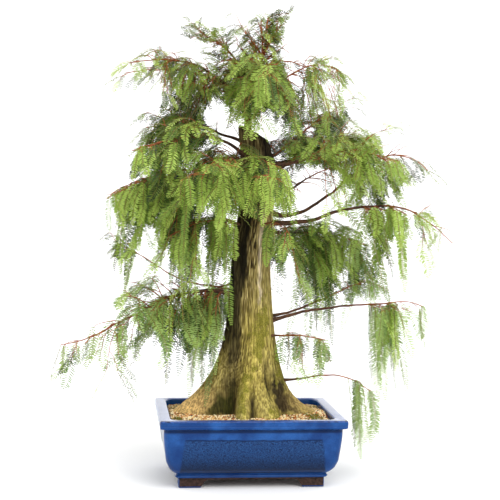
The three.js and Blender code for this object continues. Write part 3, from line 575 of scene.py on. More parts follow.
class Finish(Maker):
    """A material with one Principled shader and its Object coordinates at hand."""

    def __init__(self, name, roughness=0.6, **sockets):
        self.material = bpy.data.materials.new(name)
        self.material.use_nodes = True
        super().__init__(self.material.node_tree)
        self.tree.nodes.clear()
        self.surface = self.add("ShaderNodeBsdfPrincipled", Roughness=roughness, **sockets)
        self.add("ShaderNodeOutputMaterial", is_active_output=True, Surface=self.surface)
        self.place = self.add("ShaderNodeTexCoord")["Object"]

    def effect(self, group, **sockets):
        return self.add("ShaderNodeGroup", node_tree=group, Place=self.place, **sockets)

    def stored(self, name):
        """Numbers or colours that the mesh brings with it."""
        return self.add("ShaderNodeAttribute", attribute_name=name)

    def relief(self, height, strength, distance):
        return self.add("ShaderNodeBump", Height=height, Strength=strength, Distance=distance)

    def feed(self, **sockets):
        for name, value in sockets.items():
            self.link(value, find_socket(self.surface.socket.node.inputs, name))
        return self.material


def trunk_bark():
    """Fibrous bark: its colour comes with the mesh, and fine fibres and moss are laid over it."""
    bark = Finish("trunk_bark", 0.85, Specular_IOR_Level=0.2)
    drawn_out = bark.add("ShaderNodeMapping", Vector=bark.place, Scale=(1.0, 1.0, 0.08))
    fibres = bark.noise(drawn_out, 260.0, 3.0, 0.6)
    flakes = bark.effect(GRAIN, Coarse=150.0, Fine=700.0)
    shade = bark.mix(bark.band(fibres, 0.36, 0.66), linear(112, 98, 76), linear(255, 252, 236))
    color = bark.mix(0.75, bark.stored("tint")["Color"], shade, "MULTIPLY")
    moss = bark.effect(MOSS, Patch_Scale=55.0, Amount=bark.stored("moss")["Fac"])
    mossy = moss["Mask"] * 0.8
    height = fibres + flakes["Height"] + moss["Height"] * mossy
    return bark.feed(Base_Color=bark.mix(mossy, color, moss["Color"]),
                     Roughness=bark.spread(flakes["Mask"], 0.78, 0.95),
                     Normal=bark.relief(height, 0.7, 0.0012))


def bough_bark():
    """Thin bark of boughs and twigs: dark where the limb is thick and old, red-brown where young."""
    bark = Finish("bough_bark", 0.72, Specular_IOR_Level=0.25)
    grain = bark.effect(GRAIN, Coarse=90.0, Fine=600.0, Share_of_Fine=0.5)
    young = bark.mix(grain["Mask"], linear(118, 60, 36), linear(182, 108, 64))
    old = bark.mix(grain["Mask"], linear(46, 30, 22), linear(110, 76, 54))
    return bark.feed(Base_Color=bark.mix(bark.band(bark.stored("age")["Fac"], 0.16, 0.52), young, old),
                     Roughness=bark.spread(grain["Mask"], 0.6, 0.85),
                     Normal=bark.relief(grain["Height"], 0.6, 0.0006))


def plain(name, color, roughness=0.6, **sockets):
    """A plain colour set on the shader's own socket, for foliage."""
    made = Finish(name, roughness, Base_Color=color, **sockets)
    made.material.diffuse_color = color
    return made.material


# The glaze's sunk panels, in metres: half their widths, lower and upper edge, and how far the upper
# corners lie further out than the lower ones for each metre of height.
PANEL_FRONT, PANEL_SIDE = 0.1455, 0.100
PANEL_LOW, PANEL_HIGH = 0.034, 0.108
PANEL_SLANT = 0.16
# Where a face counts as upright, and the heights of the thin painted shadow line under the rim.
UPRIGHT = (0.55, 0.75)
UNDER_RIM_SHADOW = (0.121, 0.126, 0.129, 0.132)


def pot_glaze():
    """Blue glaze over clay, pooled dark and speckled in the sunk panels and worn on the rim, with
    painted shade under the rim and a painted highlight on top.
    """
    glaze = Finish("pot_glaze", 0.16, Specular_IOR_Level=0.14, Coat_Roughness=0.06)
    centred = glaze.add("ShaderNodeMapping", Vector=glaze.place, Location=tuple(-POT_MIDDLE))
    place = glaze.add("ShaderNodeSeparateXYZ", Vector=centred)
    x, y, z = abs(place[0]), abs(place[1]), place[2]
    normal = glaze.add("ShaderNodeNewGeometry")["True_Normal"]
    facing = glaze.add("ShaderNodeSeparateXYZ", Vector=normal)
    upward = facing[2]
    wobble = (glaze.noise(glaze.place, 34.0, 4.0) - 0.5) * 0.008
    height = z + wobble

    def stripe(value, low, low_end, high, high_end):
        return glaze.band(value, low, low_end) * (1.0 - glaze.band(value, high, high_end))

    def within(value, half):
        return 1.0 - glaze.band(value + wobble, half - 0.003, half + 0.003)

    wider = glaze.math("MULTIPLY_ADD", z, PANEL_SLANT, -PANEL_SLANT * PANEL_HIGH)
    front = within(x + wider, PANEL_FRONT) * glaze.band(abs(facing[1]), *UPRIGHT)
    side = within(y, PANEL_SIDE) * glaze.band(abs(facing[0]), *UPRIGHT)
    across = glaze.math("MAXIMUM", front, side)
    panel = across * stripe(height, PANEL_LOW - 0.006, PANEL_LOW, PANEL_HIGH - 0.0015,
                            PANEL_HIGH + 0.001)

    # The bright glaze of the body, and the deep, speckled one of the panels.
    speckle = glaze.effect(GRAIN, Coarse=620.0, Fine=1250.0, Share_of_Fine=0.45)
    spots = glaze.band(speckle["Height"], 0.38, 0.63)
    clouds = glaze.noise(glaze.place, 14.0)
    bright = glaze.mix(glaze.band(clouds, 0.35, 0.65), linear(18, 60, 122), linear(40, 94, 166))
    bright = glaze.mix((1.0 - glaze.band(z, 0.05, 0.13)) * 0.4, bright, linear(14, 38, 86))
    bright = glaze.mix((1.0 - spots) * 0.35, bright, linear(12, 34, 76))
    deep = glaze.mix(spots, linear(6, 18, 44), linear(38, 82, 142))
    deep = glaze.mix((1.0 - glaze.band(z, 0.025, 0.095)) * 0.85, deep, linear(10, 17, 36))
    color = glaze.mix(panel, bright, deep)

    # Dark lines along the panels' tops, painted shadow under the rim, and a painted highlight on the
    # rim's upper edge.
    line = stripe(height, PANEL_HIGH - 0.003, PANEL_HIGH, PANEL_HIGH, PANEL_HIGH + 0.002)
    lines = glaze.math("MAXIMUM", line * across, stripe(z, *UNDER_RIM_SHADOW))
    color = glaze.mix(lines * 0.7, color, linear(0, 12, 40))
    # A painted highlight where the rim's top edge faces up.
    edge = glaze.band(z, 0.1462, 0.1488) * glaze.band(upward, 0.1, 0.5)
    color = glaze.mix(edge * 0.4, color, linear(92, 112, 176))

    # Worn spots on the rim, and bare clay at the foot.
    chips = glaze.effect(GRAIN, Coarse=180.0, Fine=820.0)
    worn = glaze.stored("edge")["Fac"] * glaze.band(chips["Height"], 0.47, 0.55)
    color = glaze.mix(worn * 0.9, color, linear(20, 18, 24))
    bare = glaze.band(glaze.stored("bare")["Fac"], 0.4, 0.6)
    color = glaze.mix(bare, color, glaze.mix(chips["Mask"], linear(34, 25, 22), linear(76, 56, 49)))

    rough = glaze.math("MULTIPLY_ADD", bare, 0.6, glaze.spread(speckle["Mask"], 0.1, 0.22))
    coat = glaze.band(upward, 0.6, 0.9) * (1.0 - bare) * (glaze.band(x, 0.166, 0.178) * 0.5)
    return glaze.feed(Base_Color=color, Roughness=rough, Coat_Weight=coat,
                      Normal=glaze.relief(speckle["Height"] * 0.5 + clouds, 0.25, 0.0006))


def damp_soil():
    """Fine damp soil between the grains, mossy in patches."""
    soil = Finish("damp_soil", 0.95, Specular_IOR_Level=0.15)
    grain = soil.effect(GRAIN, Coarse=180.0, Fine=700.0)
    moss = soil.effect(MOSS, Patch_Scale=26.0, Amount=0.42)
    color = soil.mix(grain["Mask"], linear(136, 98, 58), linear(226, 188, 134))
    return soil.feed(Base_Color=soil.mix(moss["Mask"] * 0.5, color, moss["Color"]),
                     Normal=soil.relief(grain["Height"], 0.9, 0.002))


def stone_grain(name, dark, light):
    """A grain of baked clay or lava, pitted and unevenly coloured."""
    stone = Finish(name, 0.9, Specular_IOR_Level=0.2)
    grain = stone.effect(GRAIN, Coarse=320.0, Fine=1200.0)
    return stone.feed(Base_Color=stone.mix(grain["Mask"], dark, light),
                      Normal=stone.relief(grain["Height"], 0.5, 0.0006))


def studio_floor():
    floor = Finish("studio_floor", 0.9, Specular_IOR_Level=0.1)
    cloth = floor.band(floor.noise(floor.place, 3.0, 2.0), 0.3, 0.7)
    return floor.feed(Base_Color=floor.mix(cloth, (0.94, 0.94, 0.94, 1), (0.96, 0.96, 0.96, 1)))


# Trunk and leader.

TRUNK_COLUMNS = 236
TRUNK_ROWS = 340
ROW_CROWDING = 1.12
CAP_RINGS = 22
LEADER_HIDDEN = 30
LEADER_COLUMNS = 40
LEADER_ROWS = 150
TRUNK_FOOT = GROUND - 4

BARK_DARK = linear(44, 32, 18)
BARK_SHADE = linear(36, 30, 14)
BARK_MIDDLE = linear(122, 102, 58)
BARK_LIGHT = linear(232, 212, 150)
BARK_OLIVE = linear(212, 196, 100)
BARK_ORANGE = linear(244, 206, 138)
# Painted highlight for the crests of the root lobes and the sunny right of the trunk.
BARK_HIGHLIGHT = linear(226, 212, 134)
BARE_WOOD = linear(255, 238, 208)
# Dark rotten wood; it also paints the shade in the roots' creases.
ROT_AND_SHADE = linear(34, 25, 18)
ROT_LIGHT = linear(92, 66, 44)
WET_MOSS = linear(52, 58, 8)
LEADER_RED = linear(176, 86, 44)


# The roots' lobes, as heading and height in mm, and the creases between them, as heading, depth in
# mm and width in degrees. They run out upwards between two heights above the soil.
ROOT_LOBES = [(-106, 10), (-72, 10), (40, 7), (-232, 8)]
ROOT_CREASES = [(-89, 11, 5), (-130, 12, 12), (62, 7, 7), (-210, 8, 7)]
ROOT_TOP = (14, 96)
LIP_DEPTH = 3.0
INNER_DEPTH = 3.0
FOLD_HEIGHT = 4.0


def blend_colors(a, b, amount):
    return tuple(p + (q - p) * unit(amount) for p, q in zip(a, b))


def bump_at(value, middle, width):
    """1 at the middle, falling to 0 over the width on both sides."""
    return math.exp(-((value - middle) / width) ** 2)


def fissures(angle, height, fine):
    """Fibrous bark at an angle and height: its relief in mm, and how light it is, from 0 to 1."""
    twist = 0.1 * noise.noise((0.3, 7.1, height / 140))
    x = math.cos(angle + twist)
    y = math.sin(angle + twist)
    broad = noise.noise((x * 2.3, y * 2.3, height / 170))
    foot = fall(height - GROUND, 20, 150)
    finer = 1 + 0.7 * foot
    threads = 0.7 * noise.noise((x * 22 * finer + 9, y * 22 * finer, height / 26))
    threads += 0.5 * noise.noise((x * 41, y * 41 + 4, height / 14))
    dash = ramp(noise.noise((x * 23 * finer + 2, y * 23 * finer, height / 22)), 0.14, 0.42)
    relief = 2.6 * broad + 1.5 * threads * fine - 2.4 * dash * fine
    light = 0.66 + 0.08 * foot + (0.74 - 0.32 * foot) * threads + 0.26 * broad
    return relief, unit(light - (0.6 - 0.4 * foot) * dash)


def front_heading(angle):
    """The heading of an angle in degrees, from -270 to 90, so that the front has no seam."""
    heading = math.degrees(math.atan2(math.sin(angle), math.cos(angle)))
    return heading if heading < 90 else heading - 360


def root_relief(heading, up):
    """The lobes of the roots, the creases between them and the one that runs up the trunk, in mm."""
    low = fall(up, *ROOT_TOP)
    lobes = sum(size * bump_at(heading, middle, 6 + 7 * low) for middle, size in ROOT_LOBES)
    creases = sum(size * bump_at(heading, middle, wide) for middle, size, wide in ROOT_CREASES)
    return low * (lobes - creases) - 9 * bump_at(heading, -57, 6) * bump_at(up, 74, 44)


def trunk_tint(angle, height, light):
    """Colour and moss of the bark at an angle and height."""
    heading = front_heading(angle)
    up = height - GROUND
    x, y = math.cos(angle), math.sin(angle)
    patch = noise.noise((x * 1.9 + 3, y * 1.9, height / 95))
    mottle = noise.noise((x * 7, y * 7 + 5, height / 15))
    dark = blend_colors(BARK_DARK, BARK_MIDDLE, light * 2)
    color = blend_colors(dark, BARK_LIGHT, light * 2 - 1)
    olive = fall(up, 150, 360) * (0.75 + 0.5 * patch)
    olive *= 0.6 + 0.4 * ramp(heading, -140, -95)
    color = blend_colors(color, blend_colors(BARK_DARK, BARK_OLIVE, 0.35 + light), 0.92 * olive)

    # The shaded side, and the dark valley that it runs out into.
    wide = ramp(up, 62, 122)
    border = -121 + 17 * ramp(up, 235, 310) + 5 * mottle
    side = ramp(border - heading, -5, 9) * wide * fall(-heading, 215, 250)
    side *= 1 - 0.6 * ramp(up, 420, 500)
    side *= 1 - ramp(-heading, 138, 156) * fall(up, 110, 170)
    valley = bump_at(heading, -132, 14) * (1 - wide)
    color = blend_colors(color, BARK_SHADE, max(0.97 * side, 0.9 * valley) * (0.95 + 0.25 * patch))

    # Dark patches among the roots on the right; painted shade in their creases, painted highlights on
    # the lobes' crests.
    brown = bump_at(heading, -36, 22) * bump_at(up, 42, 44) * (1.15 + 1.6 * mottle)
    crease_shade = bump_at(heading, -88, 5) * fall(up, 30, 66)
    crease_shade = max(crease_shade, bump_at(heading, -57, 4) * bump_at(up, 66, 40))
    color = blend_colors(color, ROT_AND_SHADE, max(min(0.94, 1.2 * brown), 0.95 * crease_shade))
    crest_highlight = max(1.3 * bump_at(heading, -107, 9), 0.8 * bump_at(heading, -72, 9)) * fall(up, 18, 70)
    color = blend_colors(color, BARK_HIGHLIGHT, 0.7 * crest_highlight * (0.8 + mottle))

    # The sunny right of the trunk, the dark top beside the cut, and the strip of bare wood.
    sunny = ramp(heading, -100, -62) * fall(heading, -36, -12)
    sunny *= ramp(up, 70, 110) * fall(up, 300, 420)
    color = blend_colors(color, BARK_HIGHLIGHT, 0.3 * sunny * (0.8 + 0.8 * mottle))
    shaded = ramp(up, 470, 560) * min(1.0, 1.5 * bump_at(heading, -30, 62))
    color = blend_colors(color, ROT_AND_SHADE, 0.94 * shaded)
    streak = bump_at(heading, -65 + 9 * noise.noise((1.7, 2.2, height / 26)), 5.2)
    streak *= ramp(up, 222, 262) * fall(up, 410, 460)
    broken = noise.noise((x * 17, y * 17, height / 22))
    color = blend_colors(color, BARE_WOOD, streak * (1.15 + 1.8 * broken))
    root = max(1.4 * bump_at(heading, -168, 24), 0.6 * bump_at(heading, -4, 20))
    root *= fall(up, 10, 70)
    color = blend_colors(color, BARK_ORANGE, root * (1.0 + 0.6 * patch))
    green = bump_at(heading, -139, 12) * bump_at(up, 18, 34)
    color = blend_colors(color, WET_MOSS, min(0.92, green * (1.3 + 0.9 * mottle)))
    moss = 0.16 + 0.22 * olive + 0.3 * patch - 0.25 * root
    moss -= 0.5 * max(side, valley)
    return color, max(0.0, min(0.6, moss)) if up < 420 else 0.1


def column_top(angle):
    """Height at which the bark at an angle meets the slanting cut."""
    height = 700.0
    for _ in range(24):
        x = lean_at(height) + bark_radius(angle, height) * math.cos(angle)
        height = 0.5 * height + 0.5 * cut_height(x)
    return height


def cut_height(x):
    """Height of the cut, which has two slanting faces that meet at an edge."""
    return min(CUT_EDGE_HEIGHT - (x - CUT_EDGE_X) * math.tan(math.radians(tilt)) for tilt in CUT_TILTS)


def trunk_points():
    """The bark in rows from the soil to the cut: its points, their colours and their moss."""
    points, colors, mosses = [], [], []
    angles = [2 * math.pi * i / TRUNK_COLUMNS for i in range(TRUNK_COLUMNS)]
    tops = [column_top(a) for a in angles]
    for row in range(TRUNK_ROWS):
        s = (row / (TRUNK_ROWS - 1)) ** ROW_CROWDING
        for angle, top in zip(angles, tops):
            height = TRUNK_FOOT + (top - TRUNK_FOOT) * s
            inner = math.exp(-max(0.0, height - GROUND) / 90)
            relief, light = fissures(angle, height, 1.0)
            fold = noise.noise((math.cos(angle) * 4.6, math.sin(angle) * 4.6, height / 110))
            lumps = FOLD_HEIGHT * inner * (1 - 2.2 * abs(fold)) if abs(fold) < 0.9 else 0.0
            roots = root_relief(front_heading(angle), height - GROUND)
            radius = bark_radius(angle, max(height, GROUND)) + relief + lumps + roots
            radius -= INNER_DEPTH * inner
            # The roots' creases darken the bark here as painted shade.
            light = unit(light - 0.35 * inner * ramp(0.09 - abs(fold), 0, 0.09)
                         + 0.035 * min(0.0, roots))
            lip = ramp(top - height, 0, 7)
            radius -= LIP_DEPTH * (1 - lip) ** 2
            x = lean_at(height) + radius * math.cos(angle)
            points.append((x, radius * math.sin(angle), height))
            color, moss = trunk_tint(angle, height, light)
            colors.append(blend_colors(ROT_AND_SHADE, color, 0.35 + 0.65 * ramp(top - height, 2, 16)))
            mosses.append(moss)
    return points, colors, mosses


def trunk_cap(rim):
    """Rings from the rim of the cut to its middle: dished, cracked and rotten dark wood."""
    middle = np.mean(rim, axis=0)
    points, colors = [], []
    for ring in range(1, CAP_RINGS + 1):
        t = ring / CAP_RINGS
        for i, edge in enumerate(rim):
            x = edge[0] + (middle[0] - edge[0]) * t
            y = edge[1] + (middle[1] - edge[1]) * t
            grain = noise.noise((x / 5, y / 5, 3.0))
            way = math.atan2(y - middle[1], x - middle[0])
            crack = max(0.0, 1 - abs(noise.noise((way * 2.4, t, 1.0))) / 0.12)
            dish = 4.5 * (1 - (1 - t) ** 3) + 1.2 * grain + 2.0 * crack * (1 - t)
            base = edge[2] + (cut_height(x) - cut_height(edge[0]))
            points.append((x, y, base - dish))
            colors.append(blend_colors(ROT_AND_SHADE, ROT_LIGHT, 0.35 + 0.7 * grain - 0.5 * crack))
    return points, colors


def leader_points():
    """The leader's young red bark: its points, their colours and their moss."""
    points, colors, mosses = [], [], []
    foot = LEADER_FOOT + LEADER_HIDDEN
    for row in range(LEADER_ROWS):
        height = foot + (LEADER_TOP - foot) * row / (LEADER_ROWS - 1)
        middle = leader_middle(height)
        for i in range(LEADER_COLUMNS):
            angle = 2 * math.pi * i / LEADER_COLUMNS
            relief, light = fissures(angle, height * 1.6, 0.22)
            radius = leader_radius(height) * (1 + 0.05 * relief)
            points.append((middle[0] + radius * math.cos(angle), middle[1] + radius * math.sin(angle),
                           height))
            color = blend_colors(BARK_DARK, LEADER_RED, 0.35 + light)
            color = blend_colors(color, BARK_MIDDLE, 0.7 * fall(height, 770, 815))
            shade = bump_at(math.degrees(angle) % 360, 205, 55)
            colors.append(blend_colors(color, BARK_DARK, 0.5 * shade))
            mosses.append(0.1)
    return points, colors, mosses


def make_trunk(material):
    """The trunk with its cut, and the leader, as one mesh."""
    points, colors, mosses = trunk_points()
    cap, cap_colors = trunk_cap(points[-TRUNK_COLUMNS:])
    faces = grid_faces(TRUNK_ROWS + CAP_RINGS, TRUNK_COLUMNS)
    start = len(points) + len(cap)
    leader, leader_colors, leader_mosses = leader_points()
    points += cap + leader
    colors += cap_colors + leader_colors
    mosses += [0.0] * len(cap) + leader_mosses
    faces += grid_faces(LEADER_ROWS, LEADER_COLUMNS, start)
    faces += end_faces(range(start, start + LEADER_COLUMNS),
                       range(len(points) - LEADER_COLUMNS, len(points)))
    faces.append(tuple(reversed(range(TRUNK_COLUMNS))))
    mesh = new_mesh("trunk_with_bark", metres(points), faces)
    give_numbers(mesh, "tint", "FLOAT_COLOR", colors)
    give_numbers(mesh, "moss", "FLOAT", mosses)
    mesh.materials.append(material)
    mesh.shade_smooth()
    return finish_piece(new_object("trunk_with_bark", mesh), "bark", ["trunk"])


# Growth of boughs, twigs and shoots: the rule that the solids follow, carried on to finer twigs.

TWIG_ANGLE = 52
TWIG_ANGLE_SPREAD = 14
TWIG_SAG = 0.3
TWIG_TAPER = 0.7
SPRAY_INNER = 1.2
SPRAY_OUTER = 0.78
SPRAY_TURN = 40
SPRAY_ROLL = 60
SPRAY_SAG = 0.5
SPRAY_STRETCH = 0.3
LIMB_START_INSIDE = 9

# Finer growth: spacing of the shoots along a stem and along a twig in mm, and how long shoots are, as
# a share of the limb's own spray.
SHOOT_STEP_STEM = 16
SHOOT_STEP_TWIG = 14.5
SHOOT_SHARES = (0.45, 1.0)
TWIG_SHARES = (0.34, 0.74)
# Twigs that the solids have: where on a limb the first and the last stand.
TWIGS_FROM, TWIGS_TO = 0.25, 0.9
# Further twigs: where, how many mm apart and how much more on weeping limbs, the share left out
# towards the tip of long and of short limbs, and what share hangs or rises.
FURTHER_FROM, FURTHER_TO = 0.14, 0.97
FURTHER_STEP, FURTHER_STEP_WEEPING = 14, 9
LONG_REACH = 200
LEFT_OUT_LONG, LEFT_OUT_SHORT = 0.65, 0.3
HANGING_SHARE, HANGING_SHARE_CROWN = 0.5, 0.35
RISING_ABOVE, RISING_ABOVE_WEEPING = 0.74, 0.2
RISING_LONGEST = 90.0
TWIG_SHORTEST, TWIGLET_SHORTEST = 8, 9
TWIGLET_STEP = 26
SHOOT_POINTS = 6
STRAND_POINTS = 11
SHOOT_LONGEST, SHOOT_LONGEST_WEEPING = 104, 26
SHOOT_SHORTEST, SHOOT_GIVEN_UP = 34.0, 12
TRIES, CUT_AT_EACH_TRY = 3, 0.25
LEVEL, HANGING, RISING = "level", "hanging", "rising"
# Room in mm beyond the solids' box, round and over the pot, round the leader and round the trunk,
# the lowest place of a shoot, and up to where the trunk's bark is looked at.
ROOM_ROUND_TREE = 8
ROOM_ROUND_POT, ROOM_OVER_POT = 8, 10
ROOM_ROUND_LEADER, ROOM_ROUND_TRUNK = 1.5, 5.0
LOWEST_SHOOT = 12
BARK_LOOKED_AT_TO = 770

# Long single shoots that hang from the twigs: limb, from and to along it, number, shortest and
# longest.
STRANDS = [
    ("left_lowest", 0.0, 0.3, 22, 120, 205), ("left_lowest", 0.3, 0.6, 5, 80, 130),
    ("left_lowest", 0.0, 0.12, 10, 90, 150), ("right_middle", 0.45, 0.85, 14, 110, 180),
    ("left_middle", 0.35, 0.75, 10, 190, 245), ("left_weeping", 0.3, 1.0, 8, 150, 215),
    ("front", 0.0, 0.5, 6, 60, 110), ("left_front", 0.0, 0.35, 8, 70, 120),
    ("right_middle_low", 0.2, 0.6, 12, 150, 200), ("right_middle_low", 0.75, 1.0, 8, 120, 170),
    ("left_middle", 0.3, 0.85, 16, 120, 200), ("left_middle_back", 0.2, 0.95, 20, 130, 210),
    ("left_weeping", 0.1, 1.0, 17, 110, 190), ("left_front", 0.3, 1.0, 8, 90, 150),
    ("back_left", 0.3, 1.0, 11, 110, 180), ("back_lowest", 0.2, 1.0, 12, 100, 170),
    ("back_right", 0.3, 1.0, 5, 60, 95), ("right_middle_low", 0.3, 1.0, 24, 110, 190),
    ("right_rear", 0.6, 1.0, 4, 70, 100), ("right_middle", 0.6, 1.0, 8, 80, 130),
    ("right_skirt", 0.64, 0.8, 17, 110, 185), ("front_weeping", 0.2, 0.8, 2, 60, 100),
    ("right_stub", 0.3, 1.0, 5, 60, 95), ("front", 0.4, 1.0, 5, 80, 120),
    ("right_lowest", 0.5, 0.85, 9, 90, 150),
]

# Hanging twigs with short shoots to both sides, in the same order.
PENDANTS = [
    ("top_right", 0.3, 1.0, 8, 60, 135), ("top_right_back", 0.3, 1.0, 7, 60, 125),
    ("top_left", 0.05, 0.45, 11, 60, 115), ("top_left_back", 0.05, 0.45, 11, 60, 110),
    ("right_high", 0.3, 0.9, 6, 50, 80), ("left_upper_back", 0.2, 0.8, 5, 50, 90),
    ("top_front", 0.3, 1.0, 5, 60, 95), ("top_back", 0.2, 1.0, 7, 60, 120),
    ("back_upper", 0.2, 1.0, 8, 60, 120), ("left_lowest", 0.02, 0.3, 12, 50, 90),
    ("right_middle_high", 0.5, 0.8, 7, 50, 90), ("top_right", 0.25, 0.6, 6, 80, 120),
    ("top_right_back", 0.4, 1.0, 5, 80, 120),
]

# Twigs that rise from the inner part of a limb, in the same order.
RISERS = [
    ("right_upper", 0.3, 0.6, 7, 60, 105), ("right_upper_back", 0.15, 0.6, 8, 60, 105),
    ("right_high", 0.1, 0.8, 7, 45, 80), ("left_upper", 0.2, 0.6, 6, 50, 80),
    ("left_upper_back", 0.2, 0.8, 10, 55, 95), ("left_front", 0.1, 0.7, 5, 40, 70),
    ("left_middle", 0.1, 0.6, 5, 40, 70), ("top_left_high", 0.3, 1.0, 7, 40, 66),
    ("top_left", 0.15, 0.8, 8, 40, 66), ("top_left_back", 0.15, 0.8, 7, 40, 60),
    ("top_right", 0.1, 0.8, 7, 40, 62), ("top", 0.1, 1.0, 7, 36, 58),
    ("right_middle_high", 0.4, 0.8, 5, 40, 70), ("back_upper", 0.1, 0.8, 7, 50, 90),
    ("left_lowest", 0.25, 0.5, 6, 60, 112), ("left_slender", 0.7, 1.0, 5, 30, 50),
    ("right_upper_back", 0.6, 0.9, 5, 50, 85), ("right_upper", 0.6, 0.9, 4, 40, 70),
    ("right_middle_low", 0.1, 0.6, 7, 40, 75),
    ("right_high", 0.05, 0.45, 7, 40, 75), ("right_high", 0.55, 1.0, 11, 45, 85),
]

# Twigs of the leader itself.
LEADER_TWIGS = 54
LEADER_TWIGS_FROM = 815
LEADER_TWIGS_TO = 938
LEADER_TWIG_LENGTHS = (60, 112)
LEADER_TWIG_RADIUS = 1.7
GOLDEN_ANGLE = 137.5
LEADER_HABIT = {"droop": 0.12, "spray": 58, "height": 870, "leafy_inside": 0.55, "leafy_tip": 0.55}

# The growth's small bends are noise vectors, which are the same in each run only with a fixed seed.
NOISE_SEED = 7
noise.seed_set(NOISE_SEED)


def wiggle(point, size, scale):
    """A small bend of growth at a place, the same for all that passes there."""
    return size * np.array(noise.noise_vector((point[0] / scale, point[1] / scale, point[2] / scale)))


def side_of(number):
    """1 for left and -1 for right, in turn."""
    return 1 if number % 2 else -1


def bough_point(limb, t):
    """A point on a limb with the small bends of its growth."""
    point = limb_point(limb, t)
    ease = unit(5 * t)
    point[2] -= FURTHER_SAG.get(limb["name"], 0) * ramp(t, limb["bare"], 1.0)
    return point + ease * (wiggle(point, 4.5, 60) + wiggle(point, 1.6, 19))


def spray_size(limb, t):
    """How long shoots are at a place on a limb, against the limb's own spray."""
    along = max(0.0, (t - limb["bare"]) / (1 - limb["bare"]))
    return SPRAY_INNER + (SPRAY_OUTER - SPRAY_INNER) * along


def weeping(limb):
    """0 for a limb whose shoots spread, to 1 for one whose shoots hang in long strands."""
    return ramp(limb["droop"], 0.8, 0.96)


def make_twig(limb, k, t, left, length, item, kind=LEVEL, thick=1.0):
    """A side twig: level as the rule says, or, between those, one that hangs or rises."""
    swing = TWIG_ANGLE + between(-TWIG_ANGLE_SPREAD, TWIG_ANGLE_SPREAD, k, item, 2)
    twig = {"root": bough_point(limb, t), "heading": limb["heading"] + left * swing, "length": length,
            "lift": between(-0.1, 0.25, k, item, 3) * (1.2 - limb["droop"]), "out": 1.0,
            "sag": TWIG_SAG, "kind": kind, "size": spray_size(limb, t), "t": t,
            "radius": max(limb_radius(limb, t) * TWIG_TAPER, TIP_RADIUS) * thick}
    if kind == HANGING:
        twig.update(out=between(0.3, 0.75, k, item, 34), lift=between(0.0, 0.25, k, item, 35),
                    sag=between(0.8, 1.15, k, item, 36))
    if kind == RISING:
        twig.update(out=between(0.6, 0.9, k, item, 34), lift=between(0.35, 0.85, k, item, 35))
    return twig


def twigs_of(limb, k):
    """The side twigs that the solids have, and others between them."""
    twigs = []
    weep = weeping(limb)
    first = max(limb["bare"] + 0.03, TWIGS_FROM)
    count = limb["twigs"]
    for i in range(count):
        t = first + (TWIGS_TO - first) * (i / (count - 1) if count > 1 else 0.4)
        left = side_of(i + k)
        length = limb["fan"] * (1 - 0.45 * t) * between(0.85, 1.2, k, i, 1)
        twigs.append(make_twig(limb, k, t, left, length, i))
    start = max(limb["bare"] + 0.01, FURTHER_FROM)
    step = FURTHER_STEP + FURTHER_STEP_WEEPING * weep
    extra = int((1 - start) * limb["long"] / step) + count
    left_out = LEFT_OUT_LONG if limb["reach"] > LONG_REACH else LEFT_OUT_SHORT
    crown = ramp(limb["height"], 760, 840)
    for i in range(extra):
        t = start + (FURTHER_TO - start) * (i + chance(k, i, 31)) / extra
        left = side_of(i + k)
        if chance(k, i, 38) < left_out * ramp(t, 0.5, 1):
            continue
        draw = chance(k, i, 33)
        hang = (HANGING_SHARE + HANGING_SHARE_CROWN * crown) * max(0.0, limb["droop"])
        rise = RISING_ABOVE + RISING_ABOVE_WEEPING * weep
        kind = HANGING if draw < hang else RISING if draw > rise else LEVEL
        length = limb["fan"] * (1 - 0.4 * t) * between(0.45, 1.0, k, i, 32)
        if kind == HANGING:
            length = limb["spray"] * between(0.5, 1.2, k, i, 32) * (1.15 - 0.35 * t)
        if kind == RISING:
            length = min(RISING_LONGEST, 1.1 * length)
        twigs.append(make_twig(limb, k, t, left, length, 50 + i, kind, 0.8))
    return twigs


def added_twigs(limb, k, table, kind, first):
    """Further twigs of one kind, as many and as long as the table says for a limb."""
    twigs = []
    for name, low, high, count, shortest, longest in table:
        if name != limb["name"]:
            continue
        for i in range(count):
            item = first + i
            t = low + (high - low) * (i + chance(k, item, 61)) / count
            left = side_of(i)
            length = between(shortest, longest, k, item, 62)
            twigs.append(make_twig(limb, k, t, left, length, item, kind, 0.7))
    return twigs


def twig_point(twig, t):
    """A point on a twig, with t from 0 at its limb to 1 at its tip."""
    length = twig["length"]
    point = twig["root"] + heading_vector(twig["heading"]) * length * twig["out"] * t
    point = point + np.array([0, 0, length * (twig["lift"] * t - twig["sag"] * t * t)])
    return point + min(1.0, 4 * t) * wiggle(point, 2.6, 24)


def twiglets_of(twig, k, item):
    """Short twigs that fork from a twig to both sides."""
    out = []
    count = 1 + int(twig["length"] / TWIGLET_STEP)
    for i in range(count):
        draw = item * 9 + i
        t = 0.25 + 0.65 * (i + chance(k, draw, 41)) / count
        left = side_of(i)
        out.append({
            **twig, "root": twig_point(twig, t),
            "length": twig["length"] * between(0.25, 0.5, k, draw, 42),
            "heading": twig["heading"] + left * (46 + between(-14, 18, k, draw, 43)),
            "lift": twig["lift"] + between(-0.45, 0.25, k, draw, 44),
            "radius": 0.75 * (twig["radius"] * (1 - t) + TIP_RADIUS * t)})
    return out


class Lines:
    """Open lines gathered into one mesh of edges, with values stored at their points."""

    def __init__(self, **kinds):
        self.kinds = kinds
        self.points = []
        self.edges = []
        self.values = {name: [] for name in kinds}

    def add(self, points, **values):
        first = len(self.points)
        self.points += [tuple(p) for p in points]
        self.edges += [(first + i, first + i + 1) for i in range(len(points) - 1)]
        for name, given in values.items():
            self.values[name] += list(given)

    def mesh(self, name):
        mesh = new_mesh(name, metres(self.points), (), self.edges)
        for label, kind in self.kinds.items():
            give_numbers(mesh, label, kind, self.values[label])
        return mesh


